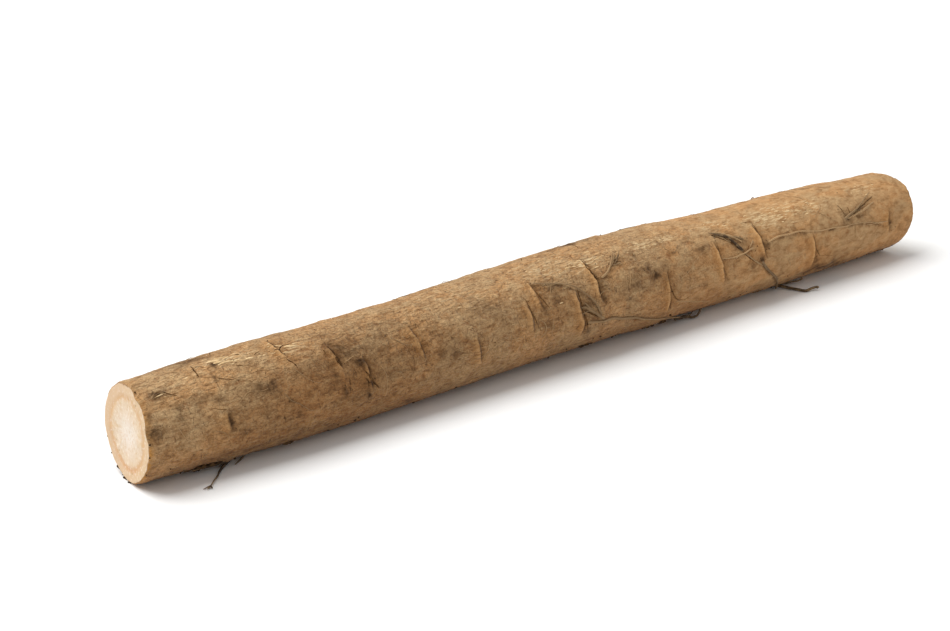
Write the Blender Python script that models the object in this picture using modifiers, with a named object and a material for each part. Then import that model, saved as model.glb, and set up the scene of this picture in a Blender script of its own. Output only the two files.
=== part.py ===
"""A cut length of burdock root, lying on its side.

It is one grown piece: a taproot of about a hand's length and a half, slightly bent and not quite
round, with a flat cut face at each end. Its bark has cross creases, low swellings and raised root
scars, and thin dried side roots grow out of it, some along the bark and some down to the surface.

Metres, +Z up. +X runs along the root from the near cut face to the far one, and -Y is the side
that is seen best. The origin is under the middle of the root, on the surface that it lies on.
Angles go round the root from the top towards -Y, so 90 degrees faces -Y and 180 faces down.
"""

import math
import random
from typing import NamedTuple

import bmesh
import bpy
from mathutils import Vector

MM = 0.001

# The root's main sizes
LENGTH = 300 * MM
STATION_RADII = [r * MM for r in (13.2, 14.5, 14.5, 15.2, 15.6, 15.2, 15.0, 13.8)]
STATION_SIDES = [y * MM for y in (0.0, -1.2, -1.0, -0.4, 0.2, 0.2, 0.1, 0.0)]
OVAL_SHARE = 0.018
OVAL_TWIST = math.radians(70)

# The cuts lean a little, as a knife leaves them: how far x moves for each unit of y and of z
NEAR_CUT_LEAN = (0.09, 0.08)
FAR_CUT_LEAN = (-0.12, 0.13)
CUT_LEAN_REACH = 16 * MM
RIM_ROUNDING = 0.5 * MM

# The root rests on two worn flats of its underside, one towards each end. The relief of the bark
# fades where the cosine of the angle from straight down passes WORN_FROM
FLAT_STATION = 95 * MM
FLAT_REACH = 38 * MM
FLAT_DEPTH = 0.5 * MM
REST_CLEARANCE = 0.65 * MM
WORN_FROM = 0.90
WORN_EASE = 0.08

# Cross creases lean round the root by up to this much
CREASE_LEAN = 2.0 * MM
CREASE_LEAN_ANGLE = math.radians(60)
CREASE_LEAN_FADE = 25 * MM
CREASE_LIP_WIDTH = 2.2 * MM
CREASE_FALL_WIDTH = 3.4 * MM
CREASE_EDGE = 0.35 * MM

SWELLING_COUNT = 34
SWELLING_HEIGHT = 0.42 * MM
SCAR_HEIGHT = 0.55 * MM
SCAR_RADIUS = 2.1 * MM

# How finely the solid is drawn
SIDES = 32
PLAIN_RING_GAP = 4.6 * MM
LEAST_RING_GAP = 0.55 * MM
SIDE_ROOT_STEP = 4.0 * MM
LEAST_SIDE_ROOT_POINTS = 5
SIDE_ROOT_TIP = 0.62 * MM

SEED = 41


class Crease(NamedTuple):
    """A cross crease: a lip of bark that ends in a step. Sizes are in millimetres and degrees."""

    station: float
    angle: float
    half_span: float
    depth: float


class SideRoot(NamedTuple):
    """A thin dried side root along the bark. It leaves the bark at station and angle, runs off at
    heading, which is 0 towards +X and 90 downwards on the -Y side, turns evenly by turn and sways
    by sway as it goes. It stands off the bark by stand at its middle, and its end by tip more.
    Sizes are in millimetres and degrees."""

    station: float
    angle: float
    heading: float
    turn: float
    sway: float
    length: float
    thickness: float
    stand: float
    tip: float


class FloorRoot(NamedTuple):
    """A side root that comes out from under the root and lies on the surface. It leaves at station,
    out from the root's line on side 1 for -Y or -1 for +Y, and its heading is 0 towards +X and 90
    straight out. Sizes are in millimetres and degrees."""

    station: float
    out: float
    side: int
    heading: float
    turn: float
    sway: float
    length: float
    thickness: float
    tip: float


# What the -Y side shows, from the near cut face to the far one
SEEN_CREASES = (
    Crease(-128.7, 84, 16, 0.35),
    Crease(-106.5, 18, 26, 0.45),
    Crease(-92.5, 49, 20, 0.65),
    Crease(-85.0, 75, 28, 0.70),
    Crease(-66.0, 58, 30, 0.50),
    Crease(-47.0, 92, 26, 0.50),
    Crease(-26.6, 72, 22, 0.45),
    Crease(-21.8, 50, 24, 0.60),
    Crease(-8.0, 86, 36, 0.95),
    Crease(1.0, 54, 36, 1.05),
    Crease(28.6, 94, 36, 0.60),
    Crease(53.4, 75, 34, 0.85),
    Crease(73.4, 60, 30, 0.90),
    Crease(97.2, 95, 30, 0.65),
    Crease(137.3, 84, 20, 0.40),
)
SEEN_SIDE_ROOTS = (
    SideRoot(-7.0, 98, 1, 36, 5, 66.0, 0.95, 0.2, 1.9),
    SideRoot(-0.8, 95, -104, -81, -5, 27.5, 0.80, 0.5, 0.2),
    SideRoot(0.2, 99, -148, 24, 0, 9.5, 1.20, 0.3, 0.4),
    SideRoot(2.8, 55, -24, -22, 2, 12.0, 1.10, 0.6, 0.8),
    SideRoot(63.6, 70, -118, -38, 8, 13.8, 1.30, 0.5, 0.2),
    SideRoot(66.4, 56, -150, -8, 0, 11.5, 0.95, 0.4, 0.2),
    SideRoot(69.0, 67, 172, 10, -7, 15.4, 0.85, 0.4, 0.5),
    SideRoot(70.6, 85, 66, -38, -20, 25.4, 1.20, 0.6, 0.4),
    SideRoot(75.0, 66, -12, 34, 9, 59.0, 0.90, -0.1, 0.0),
    SideRoot(112.8, 65, -14, -12, 1, 20.5, 1.20, 0.5, 1.2),
    SideRoot(-128.5, 146, 184, -6, 0, 9.0, 1.30, 0.2, 0.2),
)
SEEN_FLOOR_ROOTS = (
    FloorRoot(-121.5, 3.2, 1, 139, 2, 8, 20.0, 1.05, 0.3),
    FloorRoot(-117.0, 3.2, 1, 147, 0, 0, 8.6, 0.85, 0.0),
    FloorRoot(88.6, 3.4, 1, 62, -34, 24, 19.0, 1.15, 0.5),
    FloorRoot(92.4, 3.6, 1, 26, -58, 0, 12.6, 0.75, 1.0),
)

# Scars of side roots that have broken off: station and angle
SEEN_SCARS = ((-144.0, 31), (-148.0, 74), (-115.0, 59), (-59.0, 38), (20.5, 60), (49.0, 54), (106.0, 120))

# What only the other sides show is placed by rule
HIDDEN_CREASE_GAP = 19
HIDDEN_SIDE_ROOTS = 8
HIDDEN_SCARS = 7
HIDDEN_FLOOR_ROOTS = (
    FloorRoot(-66.0, 3.4, -1, 40, 52, -16, 17.0, 1.05, 0.4),
    FloorRoot(38.0, 3.4, -1, 134, -50, 20, 17.0, 0.95, 0.6),
)


def clamp(value, low, high):
    return min(max(value, low), high)


def ease(share):
    """0 to 1 with no kink at either end."""
    share = clamp(share, 0.0, 1.0)
    return share * share * (3 - 2 * share)


def through(values, share):
    """The smooth curve through evenly spaced values, read at a share of the length."""
    last = len(values) - 1
    place = clamp(share, 0.0, 1.0) * last
    start = min(int(place), last - 1)
    t = place - start
    a, b, c, d = (values[clamp(start + step, 0, last)] for step in (-1, 0, 1, 2))
    return b + 0.5 * t * (c - a + t * (2 * a - 5 * b + 4 * c - d + t * (3 * (b - c) + d - a)))


def angle_between(a, b):
    """The signed turn from b to a, the short way round."""
    return (a - b + math.pi) % (2 * math.pi) - math.pi


def share_of(x):
    return x / LENGTH + 0.5


def hidden_creases(draw):
    """Cross creases on the back and the underside, about evenly spaced along the root."""
    count = int(LENGTH / MM / HIDDEN_CREASE_GAP)
    first = -0.5 * HIDDEN_CREASE_GAP * (count - 1)
    return [
        Crease(
            station=first + HIDDEN_CREASE_GAP * k + draw.uniform(-5, 5),
            angle=draw.uniform(185, 335),
            half_span=draw.uniform(18, 40),
            depth=draw.uniform(0.30, 0.60),
        )
        for k in range(count)
    ]


def hidden_side_roots(draw):
    """Short side roots on the back, about evenly spaced along it."""
    return [
        SideRoot(
            station=((k + 0.5) / HIDDEN_SIDE_ROOTS - 0.5) * 0.9 * LENGTH / MM + draw.uniform(-6, 6),
            angle=draw.uniform(235, 290),
            heading=draw.choice((0, 180)) + draw.uniform(-50, 50),
            turn=draw.uniform(-60, 60),
            sway=draw.uniform(-25, 25),
            length=draw.uniform(12, 34),
            thickness=draw.uniform(0.80, 1.15),
            stand=draw.uniform(0.2, 0.6),
            tip=draw.uniform(0.2, 1.4),
        )
        for k in range(HIDDEN_SIDE_ROOTS)
    ]


def hidden_scars(draw):
    return [(draw.uniform(-140, 140), draw.uniform(200, 340)) for _ in range(HIDDEN_SCARS)]


def swellings(draw):
    """Low swellings and hollows all over: (x, angle, half width along, half width round, height)."""
    return [
        (
            draw.uniform(-0.5, 0.5) * LENGTH,
            draw.uniform(0, 2 * math.pi),
            draw.uniform(7, 17) * MM,
            math.radians(draw.uniform(22, 50)),
            draw.uniform(-1, 1) * SWELLING_HEIGHT,
        )
        for _ in range(SWELLING_COUNT)
    ]


CREASES = [*SEEN_CREASES, *hidden_creases(random.Random(SEED))]
SIDE_ROOTS = [*SEEN_SIDE_ROOTS, *hidden_side_roots(random.Random(SEED + 1))]
FLOOR_ROOTS = [*SEEN_FLOOR_ROOTS, *HIDDEN_FLOOR_ROOTS]
SCARS = [
    *SEEN_SCARS,
    *hidden_scars(random.Random(SEED + 3)),
    *((root.station, root.angle) for root in SIDE_ROOTS),
]
SWELLINGS = swellings(random.Random(SEED + 2))


def crease_height(station, angle):
    """The lip and the step of every cross crease here."""
    height = 0.0
    for crease in CREASES:
        past = station - crease.station * MM
        if abs(past) > 5 * CREASE_FALL_WIDTH:
            continue
        turn = abs(angle_between(angle, math.radians(crease.angle)))
        reach = 1 - ease(turn / math.radians(crease.half_span))
        lip = math.exp(min(past, 0) / CREASE_LIP_WIDTH)
        fall = math.exp(-max(past, 0) / CREASE_FALL_WIDTH)
        side = ease(0.5 + past / (2 * CREASE_EDGE))
        height += crease.depth * MM * reach * (0.5 * lip * (1 - side) - 0.5 * fall * side)
    return height


def scar_height(station, angle, radius):
    """The knuckle of bark that each side root grows from, or grew from."""
    height = 0.0
    for x, turn in SCARS:
        along = station - x * MM
        if abs(along) > 3 * SCAR_RADIUS:
            continue
        around = radius * angle_between(angle, math.radians(turn))
        height += SCAR_HEIGHT * math.exp(-(along * along + around * around) / SCAR_RADIUS**2)
    return height


def swelling_height(station, angle):
    height = 0.0
    for x, turn, along, around, most in SWELLINGS:
        far = ((station - x) / along) ** 2 + (angle_between(angle, turn) / around) ** 2
        height += most * math.exp(-far)
    return height


def bark_radius(station, angle):
    """The distance from the root's own line to its bark, relief included."""
    share = share_of(station)
    plain = through(STATION_RADII, share)
    oval = 1 + OVAL_SHARE * math.cos(2 * angle + OVAL_TWIST * (1 + 2 * share))
    unworn = 1 - ease((-math.cos(angle) - WORN_FROM) / WORN_EASE)
    relief = (
        crease_height(station, angle)
        + scar_height(station, angle, plain)
        + swelling_height(station, angle)
    )
    return plain * oval + unworn * relief


def middle_of(station):
    """The root's own line: its side bend, and its height over the surface that it lies on."""
    share = share_of(station)
    off_flat = (abs(station) - FLAT_STATION) / FLAT_REACH
    clearance = REST_CLEARANCE * (1 - math.exp(-off_flat * off_flat))
    height = bark_radius(station, math.pi) - FLAT_DEPTH + clearance
    return Vector((station, through(STATION_SIDES, share), height))


def crease_lean(station, angle):
    """How far a place moves along the root, so that creases don't run square to it."""
    fade = ease((0.5 * LENGTH - abs(station)) / CREASE_LEAN_FADE)
    return CREASE_LEAN * fade * math.sin(angle - CREASE_LEAN_ANGLE)


def cut_lean(station, across):
    """How far the lean of the nearer cut moves a place along the root."""
    lean = NEAR_CUT_LEAN if station < 0 else FAR_CUT_LEAN
    near = 1 - ease((0.5 * LENGTH - abs(station)) / CUT_LEAN_REACH)
    return near * (lean[0] * across.y + lean[1] * across.z)


def place_on_root(station, angle, share=1.0, lift=0.0):
    """A point of the root: share 0 is on its own line and 1 on its bark, and lift stands off it."""
    out = Vector((0, -math.sin(angle), math.cos(angle)))
    across = out * (share * bark_radius(station, angle) + lift)
    place = middle_of(station) + across
    place.x += cut_lean(station, across) + share * crease_lean(station, angle)
    place.z = max(place.z, 0.0)
    return place


def ring_stations():
    """Where the rings of the solid go: close together at each crease, wider apart between."""
    end = 0.5 * LENGTH
    edges = [
        crease.station * MM + side
        for crease in CREASES
        for side in (-0.7 * CREASE_LIP_WIDTH, -CREASE_EDGE, CREASE_EDGE)
    ]
    kept = [-end + RIM_ROUNDING]
    for x in sorted(edges):
        if x - kept[-1] > LEAST_RING_GAP and end - x > 4 * LEAST_RING_GAP:
            kept.append(x)
    kept.append(end - RIM_ROUNDING)
    stations = []
    for low, high in zip(kept, kept[1:]):
        steps = max(1, round((high - low) / PLAIN_RING_GAP))
        stations += [low + (high - low) * k / steps for k in range(steps)]
    return [*stations, kept[-1]]


def material(name, colour, roughness):
    made = bpy.data.materials.new(name)
    made.use_nodes = True
    shader = made.node_tree.nodes["Principled BSDF"]
    shader.inputs["Base Color"].default_value = (*colour, 1)
    shader.inputs["Roughness"].default_value = roughness
    shader.inputs["Metallic"].default_value = 0.0
    return made


def turned_blank(collection):
    """A round blank of the root: a profile from cut face to cut face, turned about X. Each point's
    distance from the axis is its share of the way out to the bark."""
    end = 0.5 * LENGTH
    rim = 1 - RIM_ROUNDING / STATION_RADII[0]
    profile = [(-end, 0.0), (-end, 0.55), (-end, rim)]
    profile += [(x, 1.0) for x in ring_stations()]
    profile += [(end, rim), (end, 0.55), (end, 0.0)]
    mesh = bpy.data.meshes.new("burdock_root")
    points = [(x, share, 0.0) for x, share in profile]
    mesh.from_pydata(points, [(k, k + 1) for k in range(len(points) - 1)], [])
    blank = bpy.data.objects.new("burdock_root", mesh)
    collection.objects.link(blank)
    turn = blank.modifiers.new("turn", "SCREW")
    turn.axis = "X"
    turn.steps = turn.render_steps = SIDES
    turn.use_merge_vertices = True
    turn.merge_threshold = 0.0001
    return blank


def applied(obj):
    """The object with its modifiers made part of its mesh."""
    bpy.context.view_layer.update()
    evaluated = obj.evaluated_get(bpy.context.evaluated_depsgraph_get())
    obj.data = bpy.data.meshes.new_from_object(evaluated)
    obj.modifiers.clear()
    return obj


def grow_body(blank):
    """Moves every point of the blank out to its place on the real root."""
    body = bmesh.new()
    body.from_mesh(blank.data)
    for vertex in body.verts:
        share = math.hypot(vertex.co.y, vertex.co.z)
        angle = math.atan2(-vertex.co.y, vertex.co.z)
        vertex.co = place_on_root(vertex.co.x, angle, share)
    bmesh.ops.recalc_face_normals(body, faces=body.faces)
    body.to_mesh(blank.data)
    body.free()


def headings(root):
    """The steps of a side root: how far along it each one is, its length, and which way it goes."""
    count = max(LEAST_SIDE_ROOT_POINTS, round(root.length * MM / SIDE_ROOT_STEP)) + 1
    step = root.length * MM / (count - 1)
    for k in range(count):
        along = k / (count - 1)
        sway = root.sway * math.sin(2 * math.pi * along)
        yield along, step, math.radians(root.heading + root.turn * along + sway)


def side_root_path(root):
    """The places that a side root runs through, with its half thickness at each."""
    x, angle = root.station * MM, math.radians(root.angle)
    path = []
    for along, step, heading in headings(root):
        half = 0.5 * (root.thickness * MM + (SIDE_ROOT_TIP - root.thickness * MM) * along)
        off = root.stand * math.sin(math.pi * along) + root.tip * ease((along - 0.55) / 0.45)
        place = place_on_root(x, angle, lift=off * MM + half * (0.6 if along else -2.4))
        place.z = max(place.z, 1.15 * half)
        path.append((place, half))
        x += step * math.cos(heading)
        angle += step * math.sin(heading) / through(STATION_RADII, share_of(x))
    return path


def floor_root_path(root):
    """The same for a side root that lies on the surface, from its start inside the underside."""
    x, out = root.station * MM, root.out * MM
    middle = middle_of(x).y
    path = []
    for along, step, heading in headings(root):
        half = 0.5 * (root.thickness * MM + (SIDE_ROOT_TIP - root.thickness * MM) * along)
        z = 1.2 * half + root.tip * MM * ease((along - 0.55) / 0.45)
        path.append((Vector((x, middle - root.side * out, z if along else 3.2 * half)), half))
        x += step * math.cos(heading)
        out += step * math.sin(heading)
    return path


def grow_side_root(path, name, collection):
    """A side root as a closed solid along its path."""
    curve = bpy.data.curves.new(name, "CURVE")
    curve.dimensions = "3D"
    curve.bevel_depth = 1.0
    curve.bevel_resolution = 1
    curve.use_fill_caps = True
    spline = curve.splines.new("POLY")
    spline.points.add(len(path) - 1)
    for point, (place, half) in zip(spline.points, path):
        point.co = (*place, 1)
        point.radius = half
    guide = bpy.data.objects.new(name, curve)
    collection.objects.link(guide)
    bpy.context.view_layer.update()
    evaluated = guide.evaluated_get(bpy.context.evaluated_depsgraph_get())
    mesh = bpy.data.meshes.new_from_object(evaluated)
    made = bmesh.new()
    made.from_mesh(mesh)
    bmesh.ops.remove_doubles(made, verts=made.verts, dist=0.01 * MM)
    made.to_mesh(mesh)
    made.free()
    solid = bpy.data.objects.new(name + "_solid", mesh)
    solid.matrix_world = guide.matrix_world
    bpy.data.objects.remove(guide)
    collection.objects.link(solid)
    return solid


def fuse(body, collection):
    """Joins every solid of the collection to the body, and removes them."""
    join = body.modifiers.new("side roots", "BOOLEAN")
    join.operation = "UNION"
    join.operand_type = "COLLECTION"
    join.collection = collection
    join.solver = "EXACT"
    applied(body)
    for solid in list(collection.objects):
        bpy.data.objects.remove(solid)
    bpy.data.collections.remove(collection)


def main():
    for obj in list(bpy.data.objects):
        bpy.data.objects.remove(obj)
    root_collection = bpy.data.collections.new("burdock root")
    side_collection = bpy.data.collections.new("side roots")
    for collection in (root_collection, side_collection):
        bpy.context.scene.collection.children.link(collection)
    body = turned_blank(root_collection)
    applied(body)
    grow_body(body)
    paths = [side_root_path(root) for root in SIDE_ROOTS]
    paths += [floor_root_path(root) for root in FLOOR_ROOTS]
    for k, path in enumerate(paths):
        grow_side_root(path, f"side_root_{k}", side_collection)
    fuse(body, side_collection)
    body.data.materials.clear()
    body.data.materials.append(material("burdock bark", (0.32, 0.19, 0.085), 0.85))
    body.data.shade_smooth()
    body.data.set_sharp_from_angle(angle=math.radians(50))


main()
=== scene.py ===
"""Burdock root: the looks of one cut length of burdock root, lying on its side.

The root is one grown piece. Its skin is drawn here as one closed mesh, on the same shape as the
solid and much finer, and it stands for the solid. Besides the bark's own tones, the skin's colour
holds painted shade and painted light. The root's dried side roots, hair roots, soil-filled cracks,
flecks of peeled cork and crumbs of soil are drawn as pieces of their own; the dark lines along the
crease steps among the cracks are painted shade, and the flecks carry painted glints. Everything
rides on the one body, which is named root.

Metres, +Z up. +X runs along the root from the near cut face to the far one, and -Y is the side
that is seen best. The origin is under the middle of the root, on the surface that it lies on.
Angles go round the root from the top towards -Y, so 90 degrees faces -Y and 180 faces down.
"""

import math
import random
from typing import NamedTuple

import bpy
import numpy as np
from mathutils import Matrix, Vector


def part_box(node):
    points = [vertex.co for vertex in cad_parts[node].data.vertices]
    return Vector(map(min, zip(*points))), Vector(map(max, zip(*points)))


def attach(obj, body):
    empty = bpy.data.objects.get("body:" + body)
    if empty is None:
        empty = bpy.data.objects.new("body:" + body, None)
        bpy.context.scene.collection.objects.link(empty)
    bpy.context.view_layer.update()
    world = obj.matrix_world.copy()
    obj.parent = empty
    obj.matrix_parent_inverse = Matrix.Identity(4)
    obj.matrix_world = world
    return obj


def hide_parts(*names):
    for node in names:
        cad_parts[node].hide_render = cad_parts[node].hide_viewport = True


bl_info = {
    "name": "Burdock Root",
    "version": (1, 0, 0),
    "blender": (4, 5, 0),
    "location": "View3D > Sidebar > Burdock",
    "description": "Builds a cut length of burdock root with creased bark and dried side roots",
    "category": "Object",
}

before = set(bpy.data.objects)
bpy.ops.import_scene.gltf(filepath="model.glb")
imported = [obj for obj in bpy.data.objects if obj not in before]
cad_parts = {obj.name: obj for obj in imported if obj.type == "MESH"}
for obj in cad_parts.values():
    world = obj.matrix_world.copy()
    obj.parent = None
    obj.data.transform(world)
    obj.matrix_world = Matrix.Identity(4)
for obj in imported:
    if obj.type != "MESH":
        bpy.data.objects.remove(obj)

MM = 0.001
# How far one degree round the bark is, in millimetres
MM_PER_DEGREE = 0.26

# The shape of the root, as its solid has it

LENGTH = 300 * MM
STATION_RADII = [r * MM for r in (13.2, 14.5, 14.5, 15.2, 15.6, 15.2, 15.0, 13.8)]
STATION_SIDES = [y * MM for y in (0.0, -1.2, -1.0, -0.4, 0.2, 0.2, 0.1, 0.0)]
OVAL_SHARE = 0.018
OVAL_TWIST = math.radians(70)

NEAR_CUT_LEAN = (0.09, 0.08)
FAR_CUT_LEAN = (-0.12, 0.13)
CUT_LEAN_REACH = 16 * MM
RIM_ROUNDING = 0.5 * MM

FLAT_STATION = 95 * MM
FLAT_REACH = 38 * MM
FLAT_DEPTH = 0.5 * MM
REST_CLEARANCE = 0.65 * MM
WORN_FROM = 0.90
WORN_EASE = 0.08

CREASE_LEAN = 2.0 * MM
CREASE_LEAN_ANGLE = math.radians(60)
CREASE_LEAN_FADE = 25 * MM
CREASE_LIP_WIDTH = 2.2 * MM
CREASE_FALL_WIDTH = 3.4 * MM
CREASE_EDGE = 0.35 * MM

SWELLING_COUNT = 34
SWELLING_HEIGHT = 0.42 * MM
SCAR_HEIGHT = 0.55 * MM
SCAR_RADIUS = 2.1 * MM

SEED = 41


class Crease(NamedTuple):
    """A cross crease: a lip of bark that ends in a step. Sizes are in millimetres and degrees."""

    station: float
    angle: float
    half_span: float
    depth: float


class SideRoot(NamedTuple):
    """A thin dried side root along the bark. It leaves the bark at station and angle, runs off at
    heading, which is 0 towards +X and 90 downwards on the -Y side, turns evenly by turn and sways
    by sway as it goes. It stands off the bark by stand at its middle, and its end by tip more.
    Sizes are in millimetres and degrees."""

    station: float
    angle: float
    heading: float
    turn: float
    sway: float
    length: float
    thickness: float
    stand: float
    tip: float


class FloorRoot(NamedTuple):
    """A side root that comes out from under the root and lies on the surface. It leaves at station,
    out from the root's line on side 1 for -Y or -1 for +Y, and its heading is 0 towards +X and 90
    straight out. Sizes are in millimetres and degrees."""

    station: float
    out: float
    side: int
    heading: float
    turn: float
    sway: float
    length: float
    thickness: float
    tip: float


SEEN_CREASES = (
    Crease(-128.7, 84, 16, 0.35),
    Crease(-106.5, 18, 26, 0.45),
    Crease(-92.5, 49, 20, 0.65),
    Crease(-85.0, 75, 28, 0.70),
    Crease(-66.0, 58, 30, 0.50),
    Crease(-47.0, 92, 26, 0.50),
    Crease(-26.6, 72, 22, 0.45),
    Crease(-21.8, 50, 24, 0.60),
    Crease(-8.0, 86, 36, 0.95),
    Crease(1.0, 54, 36, 1.05),
    Crease(28.6, 94, 36, 0.60),
    Crease(53.4, 75, 34, 0.85),
    Crease(73.4, 60, 30, 0.90),
    Crease(97.2, 95, 30, 0.65),
    Crease(137.3, 84, 20, 0.40),
)
SEEN_SIDE_ROOTS = (
    SideRoot(-7.0, 98, 1, 36, 5, 66.0, 0.95, 0.2, 1.9),
    SideRoot(-0.8, 95, -104, -81, -5, 27.5, 0.80, 0.5, 0.2),
    SideRoot(0.2, 99, -148, 24, 0, 9.5, 1.20, 0.3, 0.4),
    SideRoot(2.8, 55, -24, -22, 2, 12.0, 1.10, 0.6, 0.8),
    SideRoot(63.6, 70, -118, -38, 8, 13.8, 1.30, 0.5, 0.2),
    SideRoot(66.4, 56, -150, -8, 0, 11.5, 0.95, 0.4, 0.2),
    SideRoot(69.0, 67, 172, 10, -7, 15.4, 0.85, 0.4, 0.5),
    SideRoot(70.6, 85, 66, -38, -20, 25.4, 1.20, 0.6, 0.4),
    SideRoot(75.0, 66, -12, 34, 9, 59.0, 0.90, -0.1, 0.0),
    SideRoot(112.8, 65, -14, -12, 1, 20.5, 1.20, 0.5, 1.2),
    SideRoot(-128.5, 146, 184, -6, 0, 9.0, 1.30, 0.2, 0.2),
)
SEEN_FLOOR_ROOTS = (
    FloorRoot(-121.5, 3.2, 1, 139, 2, 8, 20.0, 1.05, 0.3),
    FloorRoot(-117.0, 3.2, 1, 147, 0, 0, 8.6, 0.85, 0.0),
    FloorRoot(88.6, 3.4, 1, 62, -34, 24, 19.0, 1.15, 0.5),
    FloorRoot(92.4, 3.6, 1, 26, -58, 0, 12.6, 0.75, 1.0),
)
# Scars where side roots were: station in millimetres and angle in degrees
SEEN_SCARS = (
    (-144.0, 31), (-148.0, 74), (-115.0, 59), (-59.0, 38), (20.5, 60), (49.0, 54), (106.0, 120),
)

HIDDEN_CREASE_GAP = 19
HIDDEN_SIDE_ROOTS = 8
HIDDEN_SCARS = 7
HIDDEN_FLOOR_ROOTS = (
    FloorRoot(-66.0, 3.4, -1, 40, 52, -16, 17.0, 1.05, 0.4),
    FloorRoot(38.0, 3.4, -1, 134, -50, 20, 17.0, 0.95, 0.6),
)


def hidden_creases(draw):
    """Cross creases on the back and the underside, about evenly spaced along the root."""
    count = int(LENGTH / MM / HIDDEN_CREASE_GAP)
    first = -0.5 * HIDDEN_CREASE_GAP * (count - 1)
    return [
        Crease(
            station=first + HIDDEN_CREASE_GAP * k + draw.uniform(-5, 5),
            angle=draw.uniform(185, 335),
            half_span=draw.uniform(18, 40),
            depth=draw.uniform(0.30, 0.60),
        )
        for k in range(count)
    ]


def hidden_side_roots(draw):
    """Short side roots on the back, about evenly spaced along it."""
    return [
        SideRoot(
            station=((k + 0.5) / HIDDEN_SIDE_ROOTS - 0.5) * 0.9 * LENGTH / MM + draw.uniform(-6, 6),
            angle=draw.uniform(235, 290),
            heading=draw.choice((0, 180)) + draw.uniform(-50, 50),
            turn=draw.uniform(-60, 60),
            sway=draw.uniform(-25, 25),
            length=draw.uniform(12, 34),
            thickness=draw.uniform(0.80, 1.15),
            stand=draw.uniform(0.2, 0.6),
            tip=draw.uniform(0.2, 1.4),
        )
        for k in range(HIDDEN_SIDE_ROOTS)
    ]


def hidden_scars(draw):
    """Scars on the back and the underside, as rows like those of SEEN_SCARS."""
    return [(draw.uniform(-140, 140), draw.uniform(200, 340)) for _ in range(HIDDEN_SCARS)]


def swellings(draw):
    """Low swellings and hollows all over: x, angle, half widths along and round, and height."""
    return [
        (
            draw.uniform(-0.5, 0.5) * LENGTH,
            draw.uniform(0, 2 * math.pi),
            draw.uniform(7, 17) * MM,
            math.radians(draw.uniform(22, 50)),
            draw.uniform(-1, 1) * SWELLING_HEIGHT,
        )
        for _ in range(SWELLING_COUNT)
    ]


CREASES = [*SEEN_CREASES, *hidden_creases(random.Random(SEED))]
SIDE_ROOTS = [*SEEN_SIDE_ROOTS, *hidden_side_roots(random.Random(SEED + 1))]
FLOOR_ROOTS = [*SEEN_FLOOR_ROOTS, *HIDDEN_FLOOR_ROOTS]
SCARS = [
    *SEEN_SCARS,
    *hidden_scars(random.Random(SEED + 3)),
    *((root.station, root.angle) for root in SIDE_ROOTS),
]
SWELLINGS = swellings(random.Random(SEED + 2))

# What only the skin shows

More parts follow.
